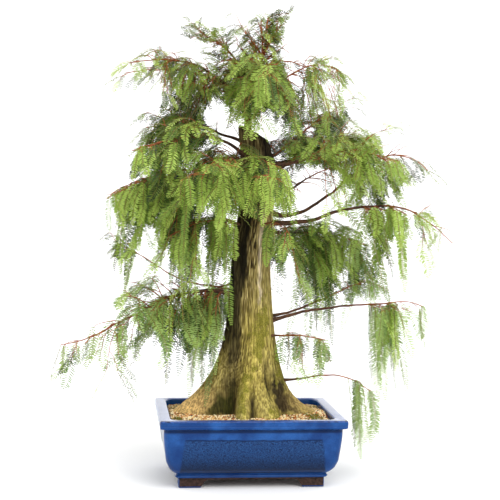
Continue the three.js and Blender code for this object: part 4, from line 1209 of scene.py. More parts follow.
# Openings in the crown where the sky shows through, as seen from the front and measured in the
# plane of the trunk: x, z, half width, half height. Shoots keep out of them; bare twigs may cross.
OPENINGS = np.array([
    (148, 659, 54, 27), (122, 603, 34, 16), (88, 436, 16, 63), (247, 332, 27, 63),
    (-226, 516, 18, 31), (-106, 511, 13, 36), (-247, 465, 18, 29), (-192, 422, 20, 11),
    (-346, 359, 56, 38), (-314, 280, 27, 20), (-359, 229, 29, 18), (-216, 276, 20, 31),
    (-163, 276, 13, 34), (-80, 797, 29, 27), (-48, 736, 22, 25), (92, 947, 29, 85),
    (166, 866, 13, 18), (216, 841, 16, 16), (-227, 836, 29, 38), (-285, 678, 18, 20),
    (-323, 582, 22, 34), (351, 742, 40, 31), (310, 736, 20, 20), (391, 626, 34, 31),
    (370, 540, 22, 16), (463, 510, 34, 63), (218, 278, 31, 49), (-233, 909, 13, 11),
    (-213, 884, 11, 9), (-138, 241, 9, 16), (367, 468, 20, 27), (190, 232, 16, 13),
    (123, 772, 13, 11), (-258, 320, 11, 16), (221, 814, 13, 13), (273, 196, 18, 18),
    (325, 508, 13, 18), (368, 328, 13, 16), (139, 277, 11, 16), (-182, 505, 9, 11),
], float)
OPENING_SHARE = 0.9

# How far the outer part of a limb sags below the solid's line, in mm (less than 0: how far it rises).
FURTHER_SAG = {"left_lowest": 22, "right_middle": 26, "right_skirt": -22}

BOX_LOW = np.array(cad_box[0]) - ROOM_ROUND_TREE * MM
BOX_HIGH = np.array(cad_box[1]) + ROOM_ROUND_TREE * MM


def has_room(point):
    """Whether a point is inside the tree's reach and clear of the trunk, the leader and the pot."""
    place = metres(point)
    if (place < BOX_LOW).any() or (place > BOX_HIGH).any():
        return False
    x, y, z = point
    over_pot = (abs(x) < RIM_HALF_LENGTH + ROOM_ROUND_POT
                and abs(y) < RIM_HALF_WIDTH + ROOM_ROUND_POT)
    if z < LOWEST_SHOOT or (over_pot and z < POT_HEIGHT + ROOM_OVER_POT):
        return False
    if LEADER_FOOT < z < LEADER_TOP:
        middle = leader_middle(z)
        if math.hypot(x - middle[0], y - middle[1]) < leader_radius(z) + ROOM_ROUND_LEADER:
            return False
    if z > BARK_LOOKED_AT_TO:
        return True
    height = max(z, GROUND)
    x = x - lean_at(height)
    return math.hypot(x, y) > bark_radius(math.atan2(y, x), height) + ROOM_ROUND_TRUNK


def in_opening(point):
    """Whether a point is seen in one of the openings."""
    eye = np.array(CAMERA_PLACE, float)
    reach = -eye[1] / (point[1] - eye[1])
    x, z = (eye + (point - eye) * reach)[[0, 2]]
    return bool((((x - OPENINGS[:, 0]) / OPENINGS[:, 2]) ** 2
                 + ((z - OPENINGS[:, 1]) / OPENINGS[:, 3]) ** 2 < 1).any())


def square_to(vector, direction):
    """The part of a vector that is square to a direction, with length 1."""
    vector = vector - direction * float(np.dot(vector, direction))
    return vector / max(float(np.linalg.norm(vector)), 1e-6)


def shoot_points(shoot, count):
    """Points along a shoot, which leaves straight, sags and bends to a side."""
    rows = []
    for i in range(count):
        t = i / (count - 1)
        length, sag = shoot["length"], shoot["sag"]
        point = shoot["root"] + shoot["start"] * length * t * (1 - SPRAY_STRETCH * sag * t)
        point = point - np.array([0, 0, length * sag * t * t])
        rows.append(point + shoot["side"] * shoot["bend"] * length * math.sin(math.pi * t)
                    + min(1.0, 4 * t) * wiggle(point, 1.8, 26))
    return np.array(rows)


def make_shoot(limb, k, item, root, heading, size, share, droop):
    """A shoot of needles at a place, as the rule hangs it. Where it has no room it is cut shorter."""
    weep = weeping(limb)
    for attempt in range(TRIES):
        seed = item + 4000 * attempt
        down = droop + between(-0.34, 0.22, k, seed, 5) * (1 - 0.6 * weep)
        down = math.radians(90 * max(-1.0, min(1.0, down)))
        turn = heading + between(-SPRAY_TURN, SPRAY_TURN, k, seed, 6)
        start = heading_vector(turn) * math.cos(down) - np.array([0, 0, math.sin(down)])
        length = max(SHOOT_SHORTEST, 1.12 * limb["spray"] * size * share)
        length = min(SHOOT_LONGEST + SHOOT_LONGEST_WEEPING * weep, length)
        length *= 1 - CUT_AT_EACH_TRY * attempt
        across = heading_vector(turn + 90 + between(-SPRAY_ROLL, SPRAY_ROLL, k, seed, 8))
        shoot = {"root": root, "start": start, "side": square_to(across, start), "length": length,
                 "sag": SPRAY_SAG * (1 - abs(start[2])), "bend": between(-0.14, 0.14, k, item, 12)}
        if length < SHOOT_GIVEN_UP:
            return None
        points = shoot_points(shoot, SHOOT_POINTS)
        open_here = chance(k, item, 14) < OPENING_SHARE and any(in_opening(p) for p in points[1:])
        if not open_here and all(has_room(p) for p in points[1::2]):
            shoot["points"] = points
            return shoot
    return None


def make_strand(limb, k, item, twig, length):
    """A long shoot that hangs from a place on a twig."""
    turn = twig["heading"] + between(-60, 60, k, item, 71)
    down = math.radians(between(66, 88, k, item, 72))
    start = heading_vector(turn) * math.cos(down) - np.array([0, 0, math.sin(down)])
    across = heading_vector(turn + 90 + between(-70, 70, k, item, 73))
    for cut in (1, 0.75, 0.5):
        strand = {"root": twig_point(twig, between(0.05, 0.95, k, item, 74)), "start": start,
                  "side": square_to(across, start), "length": length * cut, "sag": 0.3,
                  "bend": between(-0.05, 0.05, k, item, 75), "needle": 1.1}
        strand["points"] = shoot_points(strand, STRAND_POINTS)
        if all(has_room(p) and not in_opening(p) for p in strand["points"][1:]):
            return strand
    return None


def strands_of(limb, k, twigs):
    """The long shoots of a limb, on twigs that are picked by chance."""
    made = []
    for number, (name, low, high, count, shortest, longest) in enumerate(STRANDS):
        if name != limb["name"]:
            continue
        bearers = [twig for twig in twigs if low <= twig["t"] <= high]
        for i in range(count if bearers else 0):
            item = 9000 + 100 * number + i
            twig = bearers[int(chance(k, item, 76) * len(bearers))]
            made.append(make_strand(limb, k, item, twig, between(shortest, longest, k, item, 77)))
    return [strand for strand in made if strand]


def leafy_at(limb, t):
    """The share of its shoots that a limb keeps at a place along it."""
    return limb["leafy_inside"] + (limb["leafy_tip"] - limb["leafy_inside"]) * ramp(t, 0.3, 1.0)


def shoots_along(limb, k, item, line, low, high, step, shares):
    """Shoots to the left and right of a line, from its place low to its place high."""
    made = []
    at, heading, size, length, droop, place = line
    count = max(1, int(length * (high - low) / (step * (1 + 0.4 * weeping(limb)))))
    for i in range(count):
        t = low + (high - low) * (i + chance(k, item + i, 21)) / count
        if chance(k, item + i, 24) > leafy_at(limb, t if place is None else place):
            continue
        left = side_of(i)
        swing = left * (TWIG_ANGLE + between(-22, 26, k, item + i, 22))
        share = between(*shares, k, item + i, 23) * (1 - 0.25 * t)
        made.append(make_shoot(limb, k, item + i, at(t), heading + swing, size(t), share, droop))
    made.append(make_shoot(limb, k, item + count, at(1.0), heading, size(1.0), shares[1] * 0.7, droop))
    return [m for m in made if m]


def painted_light_tone_of(shoot, limb, k, item):
    """A shoot's brightness: chance, plus painted light and shade that brighten outer, front, right and
    high shoots and darken inner, rear and left ones.
    """
    x, y, z = shoot["points"][len(shoot["points"]) // 2]
    tone = 0.95 * chance(k, item, 51) + 0.5 * noise.noise((x / 90, y / 90, z / 90))
    tone += 0.35 * min(1.0, math.hypot(x, y) / 330) - 0.22 * min(1.0, max(-1.0, y / 160))
    tone += 0.2 * ramp(z, 640, 760) - 0.1 * ramp(-x, 40, 150)
    tone += 0.12 * ramp(x, 40, 200) + 0.16 * ramp(z, 770, 850)
    tone += 0.3 * limb["droop"] * fall(z, 600, 760)
    return tone


limb_lines = Lines(radius="FLOAT", age="FLOAT")
twig_lines = Lines(radius="FLOAT", age="FLOAT")
rachis_lines = Lines(radius="FLOAT")
shoots = []


def add_tube(lines, points, radii):
    """A line with its radii, and its age from 0, young, to 1, old."""
    radii = np.asarray(radii, float)
    lines.add(points, radius=radii * MM, age=np.clip((radii - 0.8) / 3.4, 0, 1))


def grow_twig(limb, k, item, twig, tip, shares):
    """Keeps a twig's line and gives back its shoots. tip is its radius at the end."""
    rows = max(2, int(twig["length"] / 9))
    ts = [i / rows for i in range(rows + 1)]
    add_tube(twig_lines, [twig_point(twig, t) for t in ts],
             [twig["radius"] + (tip - twig["radius"]) * t for t in ts])
    droop = limb["droop"]
    if twig["kind"] == HANGING:
        droop = 0.55
    if twig["kind"] == RISING:
        droop = min(droop, 0.15)
    line = (lambda t: twig_point(twig, t), twig["heading"], lambda t: twig["size"], twig["length"],
            droop, twig["t"])
    return shoots_along(limb, k, item, line, 0.1, 0.97, SHOOT_STEP_TWIG, shares)


def grow_limb(limb, k):
    """A limb with its shoots, twigs and smaller twigs."""
    steps = max(8, int(limb["reach"] / 9))
    ts = [i / steps for i in range(steps + 1)]
    points = [bough_point(limb, t) for t in ts]
    out = points[0] - points[1]
    points.insert(0, points[0] + out / np.linalg.norm(out) * LIMB_START_INSIDE)
    radii = [limb_radius(limb, t) * (1 + 0.45 * math.exp(-limb["reach"] * t / 14)) for t in [0] + ts]
    add_tube(limb_lines, points, radii)
    start = limb["bare"] + 0.02 if limb["bare"] else 0.16
    line = (lambda t: bough_point(limb, t), limb["heading"], lambda t: spray_size(limb, t),
            limb["long"], limb["droop"], None)
    grown = shoots_along(limb, k, 0, line, start, 0.99, SHOOT_STEP_STEM, SHOOT_SHARES)
    twigs = twigs_of(limb, k) + added_twigs(limb, k, PENDANTS, HANGING, 300)
    grown += strands_of(limb, k, twigs)
    twigs += added_twigs(limb, k, RISERS, RISING, 400)
    grow_twigs(limb, k, twigs, grown)


def grow_twigs(limb, k, twigs, grown):
    """Twigs, the smaller twigs that fork from them, and the shoots of both; keeps all the shoots."""
    for number, twig in enumerate(twigs):
        middle, tip = twig_point(twig, 0.5), twig_point(twig, 1.0)
        if twig["length"] < TWIG_SHORTEST or not (has_room(tip) and has_room(middle)):
            continue
        if twig["kind"] == HANGING and (in_opening(tip) or in_opening(middle)):
            continue
        item = 100 * (number + 1)
        shares = SHOOT_SHARES if twig["kind"] == LEVEL else TWIG_SHARES
        grown += grow_twig(limb, k, item, twig, 0.62, shares)
        for j, small in enumerate(twiglets_of(twig, k, number)):
            tip = twig_point(small, 1.0)
            if small["length"] < TWIGLET_SHORTEST or not has_room(tip) or in_opening(tip):
                continue
            grown += grow_twig(limb, k, item + 40 + 8 * j, small, 0.5, TWIG_SHARES)
    crown = ramp(limb["height"], 740, 830) * fall(limb["droop"], 0.55, 0.8)
    for number, shoot in enumerate(grown):
        shoot["tone"] = painted_light_tone_of(shoot, limb, k, number)
        shoot.setdefault("needle", 1.08 - 0.34 * crown)
        shoots.append(shoot)


def grow_leader():
    """The twigs that the leader bears all round, shorter towards its tip."""
    k = len(LIMBS)
    twigs = []
    for i in range(LEADER_TWIGS):
        s = (i + chance(k, i, 81)) / LEADER_TWIGS
        height = LEADER_TWIGS_FROM + (LEADER_TWIGS_TO - LEADER_TWIGS_FROM) * s
        heading = GOLDEN_ANGLE * i
        twigs.append({
            "root": leader_middle(height) + heading_vector(heading) * leader_radius(height) * 0.6,
            "heading": heading, "length": between(*LEADER_TWIG_LENGTHS, k, i, 82),
            "lift": between(0.1, 0.6, k, i, 83) + 0.7 * s * s, "sag": TWIG_SAG * (1 - 0.6 * s),
            "out": between(0.6, 0.95, k, i, 84) * (1 - 0.45 * s * s),
            "kind": RISING, "size": 1.0, "radius": LEADER_TWIG_RADIUS, "t": 0.5})
    grow_twigs(LEADER_HABIT, k, twigs, [])


for k, limb in enumerate(LIMBS):
    limb["long"] = math.hypot(limb["reach"], limb["rise"])
    grow_limb(limb, k)
grow_leader()

# Greens from dark to bright, dealt by each shoot's painted light and shade: warm ones, and cooler ones
# for low and rear shoots.
WARM_GREENS = [
    linear(40, 58, 20), linear(75, 101, 35), linear(112, 138, 50),
    linear(134, 161, 60), linear(162, 187, 82),
]
COOL_GREENS = [linear(53, 75, 32), linear(101, 130, 62), linear(155, 182, 97)]
# Length, width and spacing of the needles: crown and front shoots, and the looser low and rear ones.
NEEDLES = {"warm": (12, 2.2, 4.2), "cool": (13.5, 2.1, 4.8)}
MASSES = ["foliage_" + limb["name"] for limb in LIMBS]
BARE_LIMBS = ["bough_" + limb["name"] for limb in LIMBS if limb["bare"]]


def needle_body():
    """One needle, 1 long and 1 wide, of four faces."""
    outline = [(0, 0), (0.3, -0.5), (0.75, -0.42), (1, 0), (0.75, 0.42), (0.3, 0.5)]
    mesh = new_mesh("needle", [(x, y, 0.0) for x, y in outline],
                    [(0, 1, 5), (1, 2, 4), (1, 4, 5), (2, 3, 4)])
    return new_object("needle", mesh)


def is_cool(shoot, number):
    """Whether a shoot takes a cooler green: mostly low and rear ones do."""
    x, y, z = shoot["points"][0]
    score = 0.55 * fall(z, 380, 640) + 0.35 * ramp(y, -20, 150)
    return score + 0.4 * chance(number, 3, 52) > 0.62


def needle_lines(name, chosen):
    """The lines of chosen shoots, with what their needles follow."""
    lines = Lines(along="FLOAT", size="FLOAT", side="FLOAT_VECTOR")
    for i in chosen:
        shoot = shoots[i]
        count = len(shoot["points"])
        size = shoot["needle"] * (0.7 + 0.3 * min(1.0, shoot["length"] / 60))
        lines.add(shoot["points"], along=[j / (count - 1) for j in range(count)],
                  size=[size] * count, side=[shoot["side"]] * count)
    return lines.mesh(name)


def make_needles():
    """Deals the shoots by brightness, painted light and shade among it, into one piece for each green,
    and grows their needles.
    """
    tree = needle_tree()
    body = needle_body()
    ranked = sorted(range(len(shoots)), key=lambda i: shoots[i]["tone"])
    for family, greens, cool in (("warm", WARM_GREENS, False), ("cool", COOL_GREENS, True)):
        members = [i for i in ranked if is_cool(shoots[i], i) == cool]
        share = len(members) / len(greens)
        length, width, spacing = NEEDLES[family]
        for number, green in enumerate(greens):
            name = f"needles_{family}_{number + 1}"
            leaf = plain("green_" + name, green, 0.5, Specular_IOR_Level=0.3)
            dealt = members[int(number * share):int((number + 1) * share)]
            source = needle_lines(name + "_lines", dealt)
            piece = tree.grow(name, source, Needle=body, Needle_Length=length * MM,
                              Needle_Width=width * MM, Spacing=spacing * MM, Lean_Forward=0.5,
                              Unevenness=0.2, Seed=5 + number + 20 * cool, Material=leaf)
            finish_piece(piece, "needles", MASSES)
    bpy.data.objects.remove(body)


def make_limbs():
    """The boughs, the twigs and the thin stems of the shoots, as tubes along their lines."""
    tubes = tube_tree()
    bark = bough_bark()
    for lines, name, sides, knots, nodes in (
            (limb_lines, "boughs", 9, 1.6, BARE_LIMBS), (twig_lines, "twigs", 5, 0.5, MASSES)):
        piece = tubes.grow(name, lines.mesh(name + "_lines"), Sides=sides, Knots=knots * MM,
                           Knot_Size=120.0, Material=bark)
        finish_piece(piece, "bough_bark" if name == "boughs" else "needles", nodes)
    for shoot in shoots:
        count = len(shoot["points"])
        thin = 0.42 + 0.3 * min(1.0, shoot["length"] / 110)
        rachis_lines.add(shoot["points"],
                         radius=[thin * MM * (1 - 0.6 * j / (count - 1)) for j in range(count)])
    stalk = plain("shoot_stalk", linear(138, 122, 58), 0.6)
    piece = tubes.grow("shoots", rachis_lines.mesh("shoot_lines"), Sides=3, Knots=0.0,
                       Knot_Size=100.0, Material=stalk)
    finish_piece(piece, "needles", MASSES)


# Pot.

SOIL_EDGE = 138
# The outside from the foot ring to the rim: how far in from the rim's edge, height, radius of the
# corner, and 1 for bare clay. The body between is a smooth line through POT_BODY's insets and heights.
POT_ROWS = [
    (44, 17, 10, 1), (43.4, 18.5, 10, 1), (42.4, 21, 11, 1), (42, 22, 12, 0.7), (37.2, 22.4, 12, 0),
    (36.2, 23.2, 12, 0), (35.8, 24.6, 12, 0), (36, 26.4, 12, 0), (37.2, 28, 12, 0), (38.4, 29.2, 12, 0),
    (38.2, 30.2, 12, 0),
]
POT_BODY = [(37, 30.8), (33, 33), (23, 42), (15, 60), (11, 90), (9.4, 108), (9, 116), (9, 126)]
BODY_ROWS = 40
RIM_ROWS = [
    (9.4, 127.6, 13, 0), (9, 129.4, 12, 0), (6.6, 131, 10, 0), (3.2, 132, 8, 0), (1.2, 133, 7.4, 0),
    (0.3, 135, 7, 0), (0.3, 137.4, 7, 0), (0.9, 138.4, 7, 0), (0.3, 139.6, 7, 0), (0, 142, 7, 0),
    (0.2, 146, 7, 0), (0.9, 148.4, 7, 0), (2.4, 149.7, 7.4, 0), (5, 150, 8.4, 0), (12, 149.8, 13, 0),
    (20, 149.7, 19, 0), (22.4, 149.2, 21, 0), (23.8, 147.6, 22, 0), (24.4, 144, 22, 0),
    (25.2, 138, 22, 0), (26, 130, 22, 0), (28, 60, 22, 0), (48, 27.4, 22, 0),
]
SIDE_STEPS = (56, 42)
CORNER_STEPS = 9
QUARTERS = ((1, -1), (1, 1), (-1, 1), (-1, -1))
# Heights between which the body is one smooth curve, and its corners' radii by height.
BODY_LOW, BODY_HIGH = 30.8, 126
BODY_CORNERS = ([30, 42, 60, 90, 126], [12, 16, 18, 18, 14])
# The sunk panels in mm: their depth, how far in from the rim their faces and their ends lie, and
# between which places each edge slopes.
PANEL_SUNK = 1.1
PANEL_FACES, PANEL_ENDS = 48, 42
PANEL_FOOT_SLOPE, PANEL_TOP_SLOPE = (31, 36), (106.5, 109.5)
PANEL_FRONT_SLOPE, PANEL_SIDE_SLOPE = (143, 148), (98, 103)


def rounded_ring(half_x, half_y, corner, height):
    """A ring of points round a rectangle with round corners, anticlockwise seen from above."""
    ring = []
    for number, (sx, sy) in enumerate(QUARTERS):
        cx, cy = sx * (half_x - corner), sy * (half_y - corner)
        first = math.radians(-90 + 90 * number)
        for i in range(CORNER_STEPS + 1):
            angle = first + math.pi / 2 * i / CORNER_STEPS
            ring.append((cx + corner * math.cos(angle), cy + corner * math.sin(angle), height))
        steps = SIDE_STEPS[(number + 1) % 2]
        nx, ny = QUARTERS[(number + 1) % 4]
        ax, ay, _ = ring[-1]
        bx = nx * (half_x - corner) + corner * math.cos(angle)
        by = ny * (half_y - corner) + corner * math.sin(angle)
        for i in range(1, steps):
            t = i / steps
            ring.append((ax + (bx - ax) * t, ay + (by - ay) * t, height))
    return ring


def pot_ring(inset, corner, height):
    return rounded_ring(RIM_HALF_LENGTH - inset, RIM_HALF_WIDTH - inset, corner, height)


def body_inset(height):
    """Inset of the pot's body at a height, on a smooth line through POT_BODY."""
    insets, heights = zip(*POT_BODY)
    near = [np.interp(height + off, heights, insets) for off in (-3.5, -1.75, 0, 1.75, 3.5)]
    return float(np.mean(near))


def panel_depth(x, y, z):
    """1 where a side of the pot is sunk as a panel."""
    wave = 1.6 * noise.noise((x / 22, y / 22, z / 60))
    tall = ramp(z, *PANEL_FOOT_SLOPE) * fall(z + wave, *PANEL_TOP_SLOPE)
    slant = PANEL_SLANT * (PANEL_HIGH / MM - z)
    along_front = fall(abs(x) + wave - slant, *PANEL_FRONT_SLOPE)
    along_side = fall(abs(y) + wave, *PANEL_SIDE_SLOPE)
    front = abs(y) > RIM_HALF_WIDTH - PANEL_FACES and abs(x) < RIM_HALF_LENGTH - PANEL_ENDS
    side = abs(x) > RIM_HALF_LENGTH - PANEL_FACES and abs(y) < RIM_HALF_WIDTH - PANEL_ENDS
    return tall * max(along_front if front else 0.0, along_side if side else 0.0)


# A corner foot: its outer corner, its length and width, and at each height how far its outer sides
# and its inner sides are drawn in.
FOOT_OUT = (157, 107)
FOOT_SIZE = (56, 48)
FOOT_ROWS = [
    (0, 1.6, 9.5), (0.5, 0.5, 8.6), (1.6, 0, 8), (4, 0, 6.8), (9, 0, 3.6), (13.5, 0, 0.8),
    (15.5, 0, -2.5), (17, 0, -4.5), (20, 0, -4.5),
]


def foot_points(sx, sy):
    """Rings of a corner foot with upright outer sides and inner sides that slant in to the ground."""
    rows = []
    for height, inset, slant in FOOT_ROWS:
        x1, y1 = FOOT_OUT[0] - inset, FOOT_OUT[1] - inset
        x0, y0 = FOOT_OUT[0] - FOOT_SIZE[0] + slant, FOOT_OUT[1] - FOOT_SIZE[1] + slant
        outline = [(x1, y0), (x1, y0 + 1.5), (x1, y1 - 3), (x1 - 0.9, y1 - 0.9), (x1 - 3, y1),
                   (x0 + 1.5, y1), (x0, y1), (x0, y1 - 1.5), (x0, y0 + 1.5), (x0, y0), (x0 + 1.5, y0),
                   (x1 - 1.5, y0)]
        ring = [(sx * x, sy * y, height) for x, y in outline]
        rows.append(ring if sx * sy > 0 else ring[::-1])
    return rows


def make_pot(material):
    """The pot: foot ring, body with sunk panels, rim, inside and four corner feet, as one mesh."""
    rows = list(POT_ROWS)
    for i in range(BODY_ROWS):
        height = BODY_LOW + (BODY_HIGH - BODY_LOW) * (i + 1) / BODY_ROWS
        rows.append((body_inset(height), height, float(np.interp(height, *BODY_CORNERS)), 0))
    rows += RIM_ROWS
    points, edges, bare = [], [], []
    for inset, height, corner, clay in rows:
        for x, y, z in pot_ring(inset, corner, height):
            if 31 < z < 112:
                depth = PANEL_SUNK * panel_depth(x, y, z)
                if abs(x) / RIM_HALF_LENGTH > abs(y) / RIM_HALF_WIDTH:
                    x -= math.copysign(depth, x)
                else:
                    y -= math.copysign(depth, y)
            sag = 0.35 * noise.noise((x / 40, y / 40, z / 40))
            points.append((x, y, z + (sag if z > 24 else 0)))
            near_rim = ramp(z, 145, 149) * fall(abs(inset - 1.5), 2, 5)
            at_corner = max(abs(x) - 150, 0) / 50 * max(abs(y) - 110, 0) / 40
            edges.append(near_rim * min(1.0, 0.6 + 3 * at_corner))
            bare.append(clay)
    columns = len(points) // len(rows)
    faces = grid_faces(len(rows), columns)
    faces += end_faces(range(columns), range(len(points) - columns, len(points)))
    for sx, sy in QUARTERS[1:] + QUARTERS[:1]:
        start = len(points)
        foot = foot_points(sx, sy)
        width = len(foot[0])
        for ring in foot:
            points += ring
            edges += [0.0] * width
            for x, y, z in ring:
                outer = abs(x) > FOOT_OUT[0] - 1.2 or (z < 2 and abs(y) > FOOT_OUT[1] - 2)
                bare.append(0.0 if outer else 1.0)
        faces += grid_faces(len(foot), width, start)
        faces += end_faces(range(start, start + width), range(len(points) - width, len(points)))
    mesh = new_mesh("glazed_pot", metres(points), faces)
    give_numbers(mesh, "edge", "FLOAT", edges)
    give_numbers(mesh, "bare", "FLOAT", bare)
    mesh.materials.append(material)
    mesh.shade_smooth()
    mesh.set_sharp_from_angle(angle=math.radians(38))
    return finish_piece(new_object("glazed_pot", mesh), "pot_glaze", ["pot"])


# Soil, grains and moss.

MOUND_REACH = 60
# Inset and height of the soil's sides, just inside the pot.
SOIL_WALLS = ((48.4, 27.8), (28.4, 60), (26.4, 130), (25.6, SOIL_EDGE - 0.6))
SOIL_RING_COUNT = 36
GRAIN_APART = 3.3
GRAIN_SIZES = (1.8, 2.6)
GRAIN_DENSITY = 160000.0
MOSS_APART = 1.9
MOSS_SIZES = (2.2, 4.2)
MOSS_DENSITY = 260000.0
MOSS_TUMBLE = 0.12
GRAIN_KINDS = [
    # share, dark and light colours
    ("cream", 0.44, linear(236, 214, 160), linear(255, 246, 214)),
    ("tan", 0.3, linear(204, 158, 92), linear(244, 206, 142)),
    ("red_brown", 0.17, linear(144, 78, 42), linear(204, 122, 72)),
    ("dark", 0.09, linear(60, 42, 28), linear(112, 84, 56)),
]


def past_bark(x, y):
    """How far a place on the soil is from the bark, less than 0 inside the trunk."""
    return math.hypot(x, y) - float(bark_radius(math.atan2(y, x), GROUND))


def mound(x, y):
    """Height of the soil, which rises a little towards the trunk."""
    return GROUND + (SOIL_EDGE - GROUND) * ramp(past_bark(x, y), 0, MOUND_REACH)


def soil_mesh():
    """The soil that fills the pot, with where grains may lie on it."""
    points = []
    for inset, height in SOIL_WALLS:
        points += pot_ring(inset, 22, height)
    cover = [0.0] * len(points)
    columns = len(points) // len(SOIL_WALLS)
    edge = points[-columns:]
    for ring in range(1, SOIL_RING_COUNT + 1):
        inward = 1 - 0.93 * ring / SOIL_RING_COUNT
        for x, y, _ in edge:
            x, y = x * inward, y * inward
            z = mound(x, y) - 0.9 + 1.3 * noise.noise((x / 16, y / 16, 2.0))
            points.append((x, y, z))
            cover.append(1.0 if past_bark(x, y) > -3 else 0.0)
    faces = grid_faces(len(SOIL_WALLS) + SOIL_RING_COUNT, columns)
    faces += end_faces(range(columns), range(len(points) - columns, len(points)))
    mesh = new_mesh("soil_bed", metres(points), faces)
    give_numbers(mesh, "cover", "FLOAT", cover)
    return mesh


def grain_body():
    """A rough grain with twenty faces."""
    golden = (1 + 5 ** 0.5) / 2
    corners = [(s, t * golden) for s in (-1, 1) for t in (-1, 1)]
    points = ([(a, b, 0) for a, b in corners] + [(0, a, b) for a, b in corners]
              + [(b, 0, a) for a, b in corners])
    points = [Vector(p).normalized() for p in points]
    shaped = [p * (0.88 + 0.3 * noise.noise(p * 3.1)) for p in points]
    faces = []
    edge = min((points[0] - q).length for q in points[1:]) * 1.01
    for i, j, m in combinations(range(len(points)), 3):
        a, b, c = points[i], points[j], points[m]
        if max((a - b).length, (b - c).length, (a - c).length) < edge:
            outward = (b - a).cross(c - a).dot(a + b + c) > 0
            faces.append((i, j, m) if outward else (i, m, j))
    return new_object("grain", new_mesh("grain", shaped, faces))


def moss_body():
    """A low tuft of pointed leaves."""
    points, faces = [], []
    for i in range(7):
        angle = i * 2.4
        lean = 0.25 + 0.5 * (i % 3) / 2
        side = Vector((-math.sin(angle), math.cos(angle), 0)) * 0.16
        out = Vector((math.cos(angle), math.sin(angle), 0))
        shoulder = out * (lean * 0.6) + Vector((0, 0, 0.6))
        start = len(points)
        points += [out * 0.08 - side, out * 0.08 + side, shoulder + side * 0.8,
                   out * lean + Vector((0, 0, 1.0)), shoulder - side * 0.8]
        faces += [(start, start + 1, start + 2), (start, start + 2, start + 4),
                  (start + 4, start + 2, start + 3)]
    return new_object("moss_tuft", new_mesh("moss_tuft", points, faces))


MOSS_PATCHES = [
    # x, y and radius of each patch on the soil
    (-140, -102, 22), (-156, -66, 16), (142, -60, 24), (154, -88, 14), (-104, -112, 15), (-128, 70, 36),
    (60, 104, 30), (146, 66, 24), (-40, 112, 22), (98, -110, 13),
]


def moss_cover(mesh):
    """Where moss grows on the soil: at each point of the mesh, from 0 to 1."""
    cover = []
    for vertex in mesh.vertices:
        x, y = (np.array(vertex.co)[:2] - POT_MIDDLE[:2]) / MM
        near = max(1 - math.hypot(x - px, y - py) / r for px, py, r in MOSS_PATCHES)
        near += 0.5 * noise.noise((x / 14, y / 14, 0.5))
        up = 1.0 if vertex.co.z > (SOIL_EDGE - 2) * MM else 0.0
        cover.append(up * unit(1.8 * near))
    return cover


def make_soil():
    """The soil bed, four kinds of grain strewn over it, and moss in patches."""
    base = soil_mesh()
    bed = new_object("soil_bed", base)
    base.materials.append(damp_soil())
    base.shade_smooth()
    finish_piece(bed, "soil", ["soil"])
    tree = scatter_tree()
    body = grain_body()
    low = 0.0
    for name, share, dark, light in GRAIN_KINDS:
        piece = tree.grow("grains_" + name, base.copy(), Body=body, Apart=GRAIN_APART * MM,
                          Density=GRAIN_DENSITY, Smallest=GRAIN_SIZES[0] * MM,
                          Largest=GRAIN_SIZES[1] * MM, Share_From=low, Share_To=low + share,
                          Tumble=1.0, Seed=3, Material=stone_grain("grain_" + name, dark, light))
        low += share
        finish_piece(piece, "soil", ["soil"])
    bpy.data.objects.remove(body)
    source = base.copy()
    source.attributes["cover"].data.foreach_set("value", moss_cover(source))
    tuft = moss_body()
    leaf = plain("moss_leaf", linear(116, 124, 36), 0.8)
    piece = tree.grow("soil_moss", source, Body=tuft, Apart=MOSS_APART * MM,
                      Density=MOSS_DENSITY, Smallest=MOSS_SIZES[0] * MM,
                      Largest=MOSS_SIZES[1] * MM, Share_From=0.0, Share_To=1.01,
                      Tumble=MOSS_TUMBLE, Seed=9, Material=leaf)
    finish_piece(piece, "soil", ["soil"])
    bpy.data.objects.remove(tuft)


# Studio.

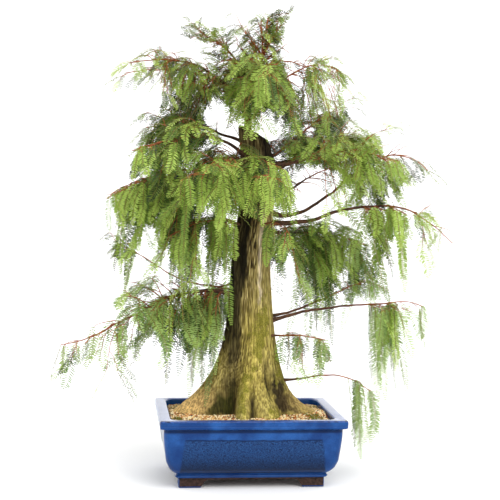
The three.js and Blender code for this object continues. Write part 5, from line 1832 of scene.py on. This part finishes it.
# The floor in metres: its front and back, its half width, the curve and the top of the backdrop.
FLOOR_FRONT, FLOOR_BACK = -6, 3
FLOOR_HALF_WIDTH = 7
FLOOR_BELOW_FOOT = 0.0006
FLOOR_STEPS, CURVE_STEPS = 39, 16
BACKDROP_CURVE, BACKDROP_TOP = 1.5, 6.0
# Strength of the even light, and each lamp's name, direction, width in degrees and strength.
AIR_LIGHT = 0.9
LAMPS = [("key", (1.1, -1.9, 2.4), 50, 1.7), ("top", (-0.6, -0.5, 2.6), 80, 0.8)]


def make_studio():
    """A pale floor that curves up into a backdrop, with soft light from above and both sides."""
    floor = FLOOR_BACK - FLOOR_FRONT
    rows = [(FLOOR_FRONT + floor * i / FLOOR_STEPS, 0.0) for i in range(FLOOR_STEPS + 1)]
    for i in range(1, CURVE_STEPS + 1):
        angle = math.pi / 2 * i / CURVE_STEPS
        rows.append((FLOOR_BACK + BACKDROP_CURVE * math.sin(angle),
                     BACKDROP_CURVE - BACKDROP_CURVE * math.cos(angle)))
    rows.append((FLOOR_BACK + BACKDROP_CURVE, BACKDROP_TOP))
    points = []
    for y, z in rows:
        points += [(side * FLOOR_HALF_WIDTH, y, z - FLOOR_BELOW_FOOT) for side in (-1, 1)]
    faces = [(2 * i, 2 * i + 1, 2 * i + 3, 2 * i + 2) for i in range(len(rows) - 1)]
    mesh = new_mesh("studio", points, faces)
    mesh.materials.append(studio_floor())
    mesh.shade_smooth()
    new_object("studio", mesh)
    world = bpy.data.worlds.new("studio_air")
    world.use_nodes = True
    air = world.node_tree.nodes["Background"]
    air.inputs["Color"].default_value = (1, 1, 1, 1)
    air.inputs["Strength"].default_value = AIR_LIGHT
    bpy.context.scene.world = world
    for name, place, angle, power in LAMPS:
        light = bpy.data.lights.new(name, "SUN")
        light.angle = math.radians(angle)
        light.energy = power
        made = bpy.data.objects.new(name, light)
        bpy.context.scene.collection.objects.link(made)
        aim = -Vector(place)
        made.matrix_world = aim.to_track_quat("-Z", "Y").to_matrix().to_4x4()
    bpy.context.scene.view_settings.view_transform = "Standard"


make_pot(pot_glaze())
make_trunk(trunk_bark())
make_limbs()
make_needles()
make_soil()
make_studio()
